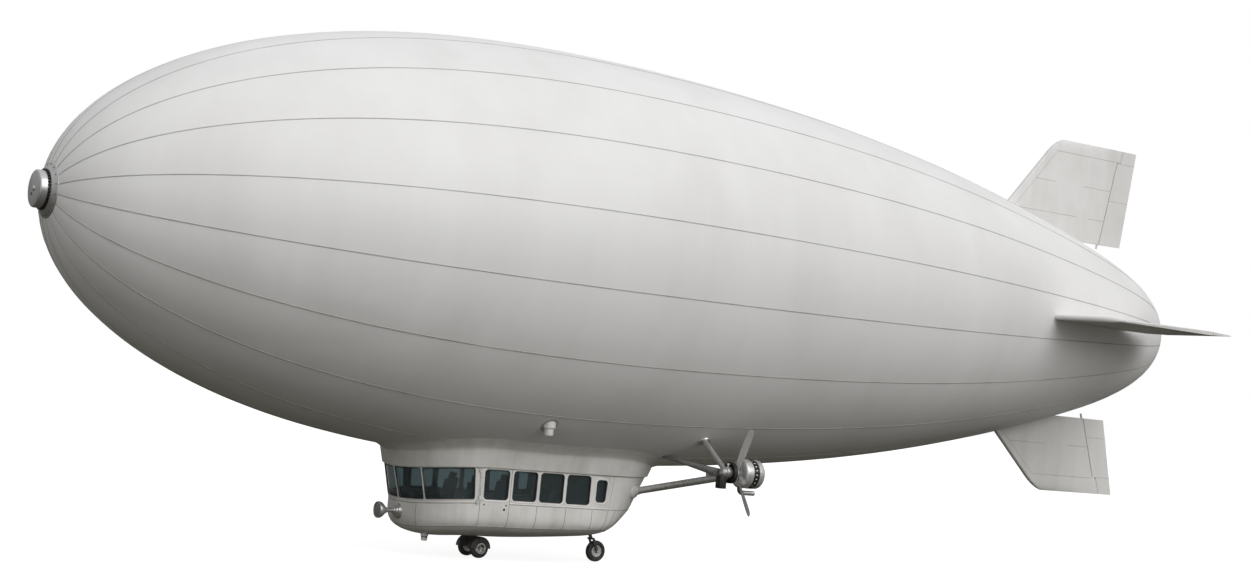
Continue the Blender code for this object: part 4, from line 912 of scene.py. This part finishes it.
# Landing gear: a stub leg with twin wheels under half-round mudguards in front, and one wheel in a
# leaning fork behind. Tyres are black rubber on polished split hubs.
tyre_rubber = finish("tyre rubber", (0.022, 0.022, 0.021), (0.13, 0.12, 0.10), 0.55, 0.25, 0.006, (0.6, 0.8))
hub_metal = finish("hub metal", (0.80, 0.80, 0.79), (0.36, 0.35, 0.31), 0.35, 0.15, 0.005, (0.2, 0.35), 0.4)
gear_paint = finish("gear paint", (0.055, 0.055, 0.053), (0.16, 0.15, 0.13), 0.5, 0.3, 0.008, (0.35, 0.55))
ground = -8.40
sides = ((-1, "port"), (1, "starboard"))


def power(value, exponent):
    return copysign(abs(value) ** exponent, value)


def wheel(name, x, y, radius, half, hub_radius, body):
    """A tyre with a rounded square section and three grooves, and its hub with a rim, spokes and bolts."""
    centre = (x, y, ground + radius)
    deep = (radius - hub_radius) / 2
    section = []
    for angle in turns(48):
        across = abs(cos(angle))
        grooved = sin(angle) > 0 and (across < 0.07 or 0.35 < across < 0.46)
        groove = 0.006 if grooved else 0.0
        section.append((half * power(cos(angle), 0.65),
                        hub_radius + deep + (deep - groove) * power(sin(angle), 0.75)))
    tyre = piece(name + "_tyre", turned(section, centre, (0, 1, 0), 72), tyre_rubber, body, 40)
    rim_line = (
        (half * 0.80, hub_radius + 0.014), (half * 0.86, hub_radius + 0.008),
        (half * 0.84, hub_radius - 0.006), (half * 0.50, hub_radius - 0.020),
        (half * 0.46, hub_radius * 0.52), (half * 0.62, hub_radius * 0.45), (half * 0.66, 0.034),
        (half * 0.2, 0.034), (half * 0.2, hub_radius + 0.006),
    )
    hub, circle = bmesh.new(), 0.72 * hub_radius
    for side in (-1, 1):
        join(hub, turned([(side * h, r) for h, r in rim_line], centre, (0, 1, 0), 64))
        for angle in turns(6):
            place = Vector(centre) + Vector((circle * cos(angle), side * half * 0.48, circle * sin(angle)))
            bolt_head(hub, place, (0, side, 0), 0.011, 0.012)
    piece(name + "_hub", hub, hub_metal, body)
    return tyre


front_x, front_radius, track = 12.90, 0.270, 0.32
front_at = Vector((front_x, 0, ground + front_radius))
front_tyres = [wheel("front_" + word, front_x, side * track, front_radius, 0.075, 0.135, "front_wheels")
               for side, word in sides]
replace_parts(front_tyres[0], "front_wheels")
axle_line = [(-0.455, 0.0), (-0.455, 0.026), (-0.445, 0.034), (0.445, 0.034), (0.455, 0.026), (0.455, 0.0)]
ring_line = [(0.424, 0.112), (0.424, 0.140), (0.434, 0.148), (0.446, 0.142), (0.448, 0.118), (0.438, 0.108)]
axle = turned(axle_line, front_at, (0, 1, 0), 32)
for side in (-1, 1):
    join(axle, turned([(side * h, r) for h, r in ring_line], front_at, (0, 1, 0), 48))
    for angle in turns(3):
        join(axle, bevelled((0.03, -0.010, -0.012), (0.115, 0.010, 0.012), 0.004, Matrix.Translation(
            front_at + Vector((0, side * 0.436, 0))) @ Matrix.Rotation(angle, 4, "Y")))
piece("front_axle", axle, hub_metal, "front_wheels")
guard_in, guard_out, guard_radius = track - 0.125, track + 0.10, front_radius + 0.045
guard_line = (
    (guard_in, 0.075), (guard_in + 0.010, 0.075), (guard_in + 0.010, guard_radius - 0.030),
    (guard_in + 0.024, guard_radius - 0.012), (guard_out - 0.026, guard_radius - 0.012),
    (guard_out - 0.012, guard_radius - 0.030), (guard_out - 0.012, 0.060), (guard_out - 0.004, 0.060),
    (guard_out - 0.002, guard_radius - 0.030), (guard_out - 0.012, guard_radius - 0.006),
    (guard_out - 0.024, guard_radius), (guard_in + 0.018, guard_radius), (guard_in, guard_radius - 0.018),
)
for side, word in sides:
    guard = turned([(side * h, r) for h, r in guard_line], front_at, (0, 1, 0), 48, 180.0, 180.0)
    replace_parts(piece("mudguard_" + word, guard, gear_paint), "front_mudguard_" + word)
rear_x, rear_radius = 16.94, 0.300
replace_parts(wheel("rear", rear_x, 0.0, rear_radius, 0.085, 0.150, "rear_wheel"), "rear_wheel")
dress(gear_paint, "front_leg")
fork_in, fork_out, fork_lean = 0.097, 0.125, 0.48
crown = rear_radius + 0.075
fork = bmesh.new()
for side in (-1, 1):
    rows = []
    for up_by in (-0.045, 0.0, 0.10, 0.20, 0.30, crown):
        rows.append([(rear_x - up_by * fork_lean + 0.045 * power(cos(a), 0.7),
                      side * (fork_in + fork_out) / 2 + 0.014 * power(sin(a), 0.7),
                      ground + rear_radius + up_by) for a in turns(24)])
    join(fork, skin_over(rows))
crown_at = Vector((rear_x - crown * fork_lean, 0, ground + rear_radius + crown))
reach = Vector((0.055, fork_out, 0.0))
join(fork, bevelled(crown_at - reach - Vector((0, 0, 0.05)), crown_at + reach, 0.015))
join(fork, turned([(0.0, 0.0), (0.0, 0.05), (0.45, 0.05), (0.45, 0.0)], crown_at - Vector((0, 0, 0.02)),
                  (-fork_lean, 0, 1), 32))
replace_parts(piece("rear_fork", fork, gear_paint), "rear_leg")
dress(hub_metal, "rear_axle", "door_hinge_rod")


# Outriggers: on each side a polished tube boom runs from the cabin's tail to the engine, braced from the
# hull by a thin strut on a round pad and by a wide faired strut, coloured dark grey as painted shade.
tube_metal = finish("boom metal", (0.66, 0.66, 0.65), (0.34, 0.33, 0.30), 0.35, 0.8, 0.01, (0.22, 0.36), 0.7)
dress(tube_metal, "boom_port", "boom_starboard")
pad_out, strut_end = (18.14, 3.06, -4.68), (17.90, 4.44, -5.39)
for side, word in sides:
    pad, end = (Vector((p[0], side * p[1], p[2])) for p in (pad_out, strut_end))
    along = end - pad
    brace = turned([(-0.02, 0.0), (-0.02, 0.090), (0.06, 0.090), (along.length * 0.5, 0.080),
                    (along.length - 0.03, 0.074), (along.length - 0.03, 0.0)], pad, along, 32)
    outward = Vector((0.0, pad.y, pad.z)).normalized()
    join(brace, turned([(-0.25, 0.0), (-0.25, 0.17), (0.022, 0.18), (0.040, 0.172), (0.050, 0.130),
                        (0.056, 0.0)], pad, outward, 40))
    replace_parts(piece("brace_" + word, brace, tube_metal), "strut_" + word)
# The faired strut's dark grey is painted shade, as if the strut lay in shadow; its soil colour is dirt.
fairing_paint_painted_shade = finish("fairing paint with painted shade", (0.17, 0.17, 0.165), (0.30, 0.29, 0.26), 0.5, 0.6, 0.01, (0.35, 0.5))
boom_foot, boom_end = (16.60, 0.55, -6.52), (17.90, 4.30, -5.60)
fairing_foot, fairing_end = (17.60, 2.05, -5.22), (17.90, 4.32, -5.50)
flare_line = (
    # distance out along the boom, radius
    (-0.10, 0.0), (-0.10, 0.19), (0.0, 0.185), (0.03, 0.165), (0.07, 0.135), (0.12, 0.118), (0.20, 0.110),
    (0.205, 0.1005), (0.205, 0.0),
)
for side, word in sides:
    foot, end = (Vector((p[0], side * p[1], p[2])) for p in (fairing_foot, fairing_end))
    lie = (end - foot).normalized()
    chordwise = (Vector((1, 0, 0)) - lie * lie.x).normalized()
    thin = lie.cross(chordwise)
    rows = []
    for k in range(13):
        at = (foot - lie * 0.3).lerp(end - lie * 0.10, k / 12)
        chord = 0.22 + 0.17 * k / 12
        swell = 0.045 + 0.075 * (k / 12) ** 2
        rows.append([at + chordwise * (chord / 2 * power(cos(a), 0.9)) + thin * (swell * sin(a))
                     for a in turns(32)])
    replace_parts(piece("faired_strut_" + word, skin_over(rows), fairing_paint_painted_shade),
                "fairing_strut_" + word)
    foot, end = (Vector((p[0], side * p[1], p[2])) for p in (boom_foot, boom_end))
    lie = (end - foot).normalized()
    reach, inside = 0.0, True
    while inside:
        at = foot + lie * reach
        nose_x, tail_x, half = plan_at(at.z)
        inside = ((at.x - tail_flat) / (tail_x - tail_flat)) ** 2 + (at.y / half) ** 2 <= 1
        reach += 0.01
    piece("boom_socket_" + word, turned(flare_line, at, lie, 48), gondola_paint)


# Engines: each drives its propeller ahead of it on a hollow spindle. A light domed hub housing with
# stacked discs sits in a black cup, with the black starter block under it; behind the propeller come the
# pale drum of the cowl, a black cooling ring with white plates, a bright cap and the exhaust.
engine_y, engine_z, prop_x, head_x = 4.50, -5.45, 18.22, 17.92
cowl_x, spindle = prop_x + 0.0603, 0.05
drum_paint = finish("drum paint", (0.64, 0.64, 0.63), (0.36, 0.35, 0.31), 0.35, 0.6, 0.01, (0.22, 0.36), 0.55)
plate_paint = finish("plate paint", (0.78, 0.78, 0.76), (0.42, 0.40, 0.36), 0.35, 0.2, 0.01, (0.3, 0.45))
blade_paint = finish("blade paint", (0.66, 0.655, 0.64), (0.30, 0.29, 0.26), 0.4, 0.4, 0.008, (0.3, 0.45),
                     coat=0.2)
tail_end = prop_x + 0.115 - head_x
dome_line = (
    # distance behind the head's middle, radius
    (-0.205, 0.0), (-0.203, 0.03), (-0.195, 0.065), (-0.175, 0.098), (-0.145, 0.125), (-0.135, 0.127),
    (-0.130, 0.145), (-0.095, 0.145), (-0.090, 0.128), (-0.075, 0.128), (-0.070, 0.160), (0.0, 0.160),
    (0.005, 0.132), (0.030, 0.132), (0.035, 0.165), (0.085, 0.165), (0.090, 0.120), (0.150, 0.120),
    (0.155, spindle), (tail_end, spindle), (tail_end, 0.0),
)
cup_line = (
    (0.065, 0.255), (0.060, 0.275), (0.070, 0.290), (0.165, 0.290), (0.170, 0.280), (0.170, 0.10),
    (0.140, 0.10), (0.140, 0.245), (0.075, 0.250),
)
knob_line = ((0.0, 0.0), (0.0, 0.02), (0.05, 0.02), (0.055, 0.045), (0.09, 0.045), (0.10, 0.03), (0.10, 0.0))
hub_line = (
    # distance behind the blades' middle, radius
    (-0.055, spindle + 0.001), (-0.055, 0.100), (-0.045, 0.112), (0.045, 0.112), (0.055, 0.100),
    (0.055, spindle + 0.001),
)
blade_rows = (
    # radius, chord, thickness, pitch in degrees
    (0.06, 0.10, 0.060, 48), (0.20, 0.12, 0.052, 40), (0.40, 0.175, 0.040, 29), (0.60, 0.215, 0.031, 22),
    (0.85, 0.225, 0.025, 17), (1.10, 0.215, 0.019, 14), (1.24, 0.190, 0.014, 12), (1.30, 0.150, 0.011, 12),
    (1.322, 0.100, 0.009, 12), (1.33, 0.045, 0.006, 12),
)
drum_line = (
    # distance behind the cowl's front, radius
    (0.002, spindle + 0.003), (0.002, 0.115), (0.012, 0.20), (0.035, 0.300), (0.050, 0.350), (0.062, 0.378),
    (0.080, 0.392), (0.10, 0.395), (0.285, 0.395), (0.295, 0.385), (0.298, 0.30), (0.482, 0.30),
    (0.485, 0.385), (0.495, 0.395), (0.60, 0.395), (0.635, 0.388), (0.665, 0.365), (0.69, 0.335),
    (0.705, 0.290), (0.720, 0.22), (0.730, 0.12), (0.730, 0.0), (0.06, 0.0), (0.06, spindle + 0.003),
)
cooling_line = ((0.2985, 0.302), (0.2985, 0.372), (0.4815, 0.372), (0.4815, 0.302))
cooling_fins, pipe_drop, pipe_bend = 20, -0.41, 0.11
for side, word in sides:
    centre = Vector((0.0, side * engine_y, engine_z))
    at_head, at_prop, at_cowl = (centre + Vector((x, 0, 0)) for x in (head_x, prop_x, cowl_x))
    dome = turned(dome_line, at_head, (1, 0, 0))
    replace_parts(piece("hub_housing_" + word, dome, spun_metal), "engine_head_" + word)
    piece("hub_cup_" + word, turned(cup_line, at_head, (1, 0, 0)), black_metal)
    low, high = at_head + Vector((-0.28, -0.105, -0.44)), at_head + Vector((-0.05, 0.105, -0.08))
    block = bevelled(low, high, 0.022)
    for k in range(5):
        z = low.z + 0.05 + 0.06 * k
        join(block, bevelled((low.x - 0.008, low.y + 0.02, z), (low.x + 0.03, high.y - 0.02, z + 0.018),
                             0.004))
    join(block, turned([(0, 0), (0, 0.05), (0.05, 0.05), (0.06, 0.04), (0.06, 0)],
                       (low.x + 0.02, centre.y, low.z + 0.12), (-1, 0, 0), 32))
    piece("starter_block_" + word, block, black_metal)
    bolts = bmesh.new()
    for angle in turns(12, 0.5):
        place = at_head + Vector((0.165, 0.265 * cos(angle), 0.265 * sin(angle)))
        bolt_head(bolts, place, (1, 0, 0), 0.012, 0.010)
    join(bolts, turned(knob_line, at_head + Vector((0.03, 0, 0.15)), (0, 0, 1), 24))
    piece("hub_bolts_" + word, bolts, hub_metal)
    blades = turned(hub_line, at_prop, (1, 0, 0), 48)
    for degrees in (25, 145, 265):
        lift = radians(degrees)
        out = Vector((0.0, side * sin(lift), cos(lift)))
        across = Vector((0.0, side * cos(lift), -sin(lift)))
        rings = []
        for r, chord, thick, pitch in blade_rows:
            lead = across * cos(radians(pitch)) + Vector((1, 0, 0)) * sin(radians(pitch))
            flat = lead.cross(out)
            rings.append([at_prop + out * r + lead * (chord / 2 * cos(a)) + flat * (
                thick / 2 * sin(a) * (0.55 + 0.45 * cos(a))) for a in turns(24)])
        join(blades, skin_over(rings))
    propeller = "propeller_" + word
    turning = piece("propeller_blades_" + word, blades, blade_paint, propeller)
    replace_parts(turning, propeller)
    drum = turned(drum_line, at_cowl, (1, 0, 0), 80)
    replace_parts(piece("cowl_drum_" + word, drum, drum_paint), "engine_cowl_" + word)
    cooling, plates = turned(cooling_line, at_cowl, (1, 0, 0), 80), bmesh.new()
    for angle in turns(cooling_fins):
        spin, between = (Matrix.Translation(at_cowl) @ Matrix.Rotation(angle + step, 4, "X")
                         for step in (0.0, pi / cooling_fins))
        join(plates, bevelled((0.365, -0.016, 0.366), (0.415, 0.016, 0.380), 0.004, spin))
        join(cooling, bevelled((0.299, -0.012, 0.366), (0.481, 0.012, 0.399), 0.003, between))
    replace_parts(piece("cooling_ring_" + word, cooling, black_metal), "gill_ring_" + word)
    piece("cooling_plates_" + word, plates, plate_paint)
    route = [Vector((0.12, 0, -0.30))]
    for k in range(9):
        angle = radians(90 * k / 8)
        route.append(Vector((0.12 + pipe_bend * (1 - cos(angle)), 0, pipe_drop - pipe_bend * sin(angle))))
    route += [Vector((0.36, 0, pipe_drop - pipe_bend)), Vector((0.62, 0, pipe_drop - pipe_bend))]
    for part, points, radius, paint in (("elbow", route[:10], 0.068, gear_paint),
                                        ("tail", route[9:], 0.064, tube_metal)):
        rings = []
        for i, p in enumerate(points):
            along = (points[min(i + 1, len(points) - 1)] - points[max(i - 1, 0)]).normalized()
            upright = Vector((0, 1, 0))
            rings.append([at_cowl + p + (upright * cos(a) + along.cross(upright) * sin(a)) * radius
                          for a in turns(32)])
        piece("exhaust_%s_%s" % (part, word), skin_over(rings), paint)
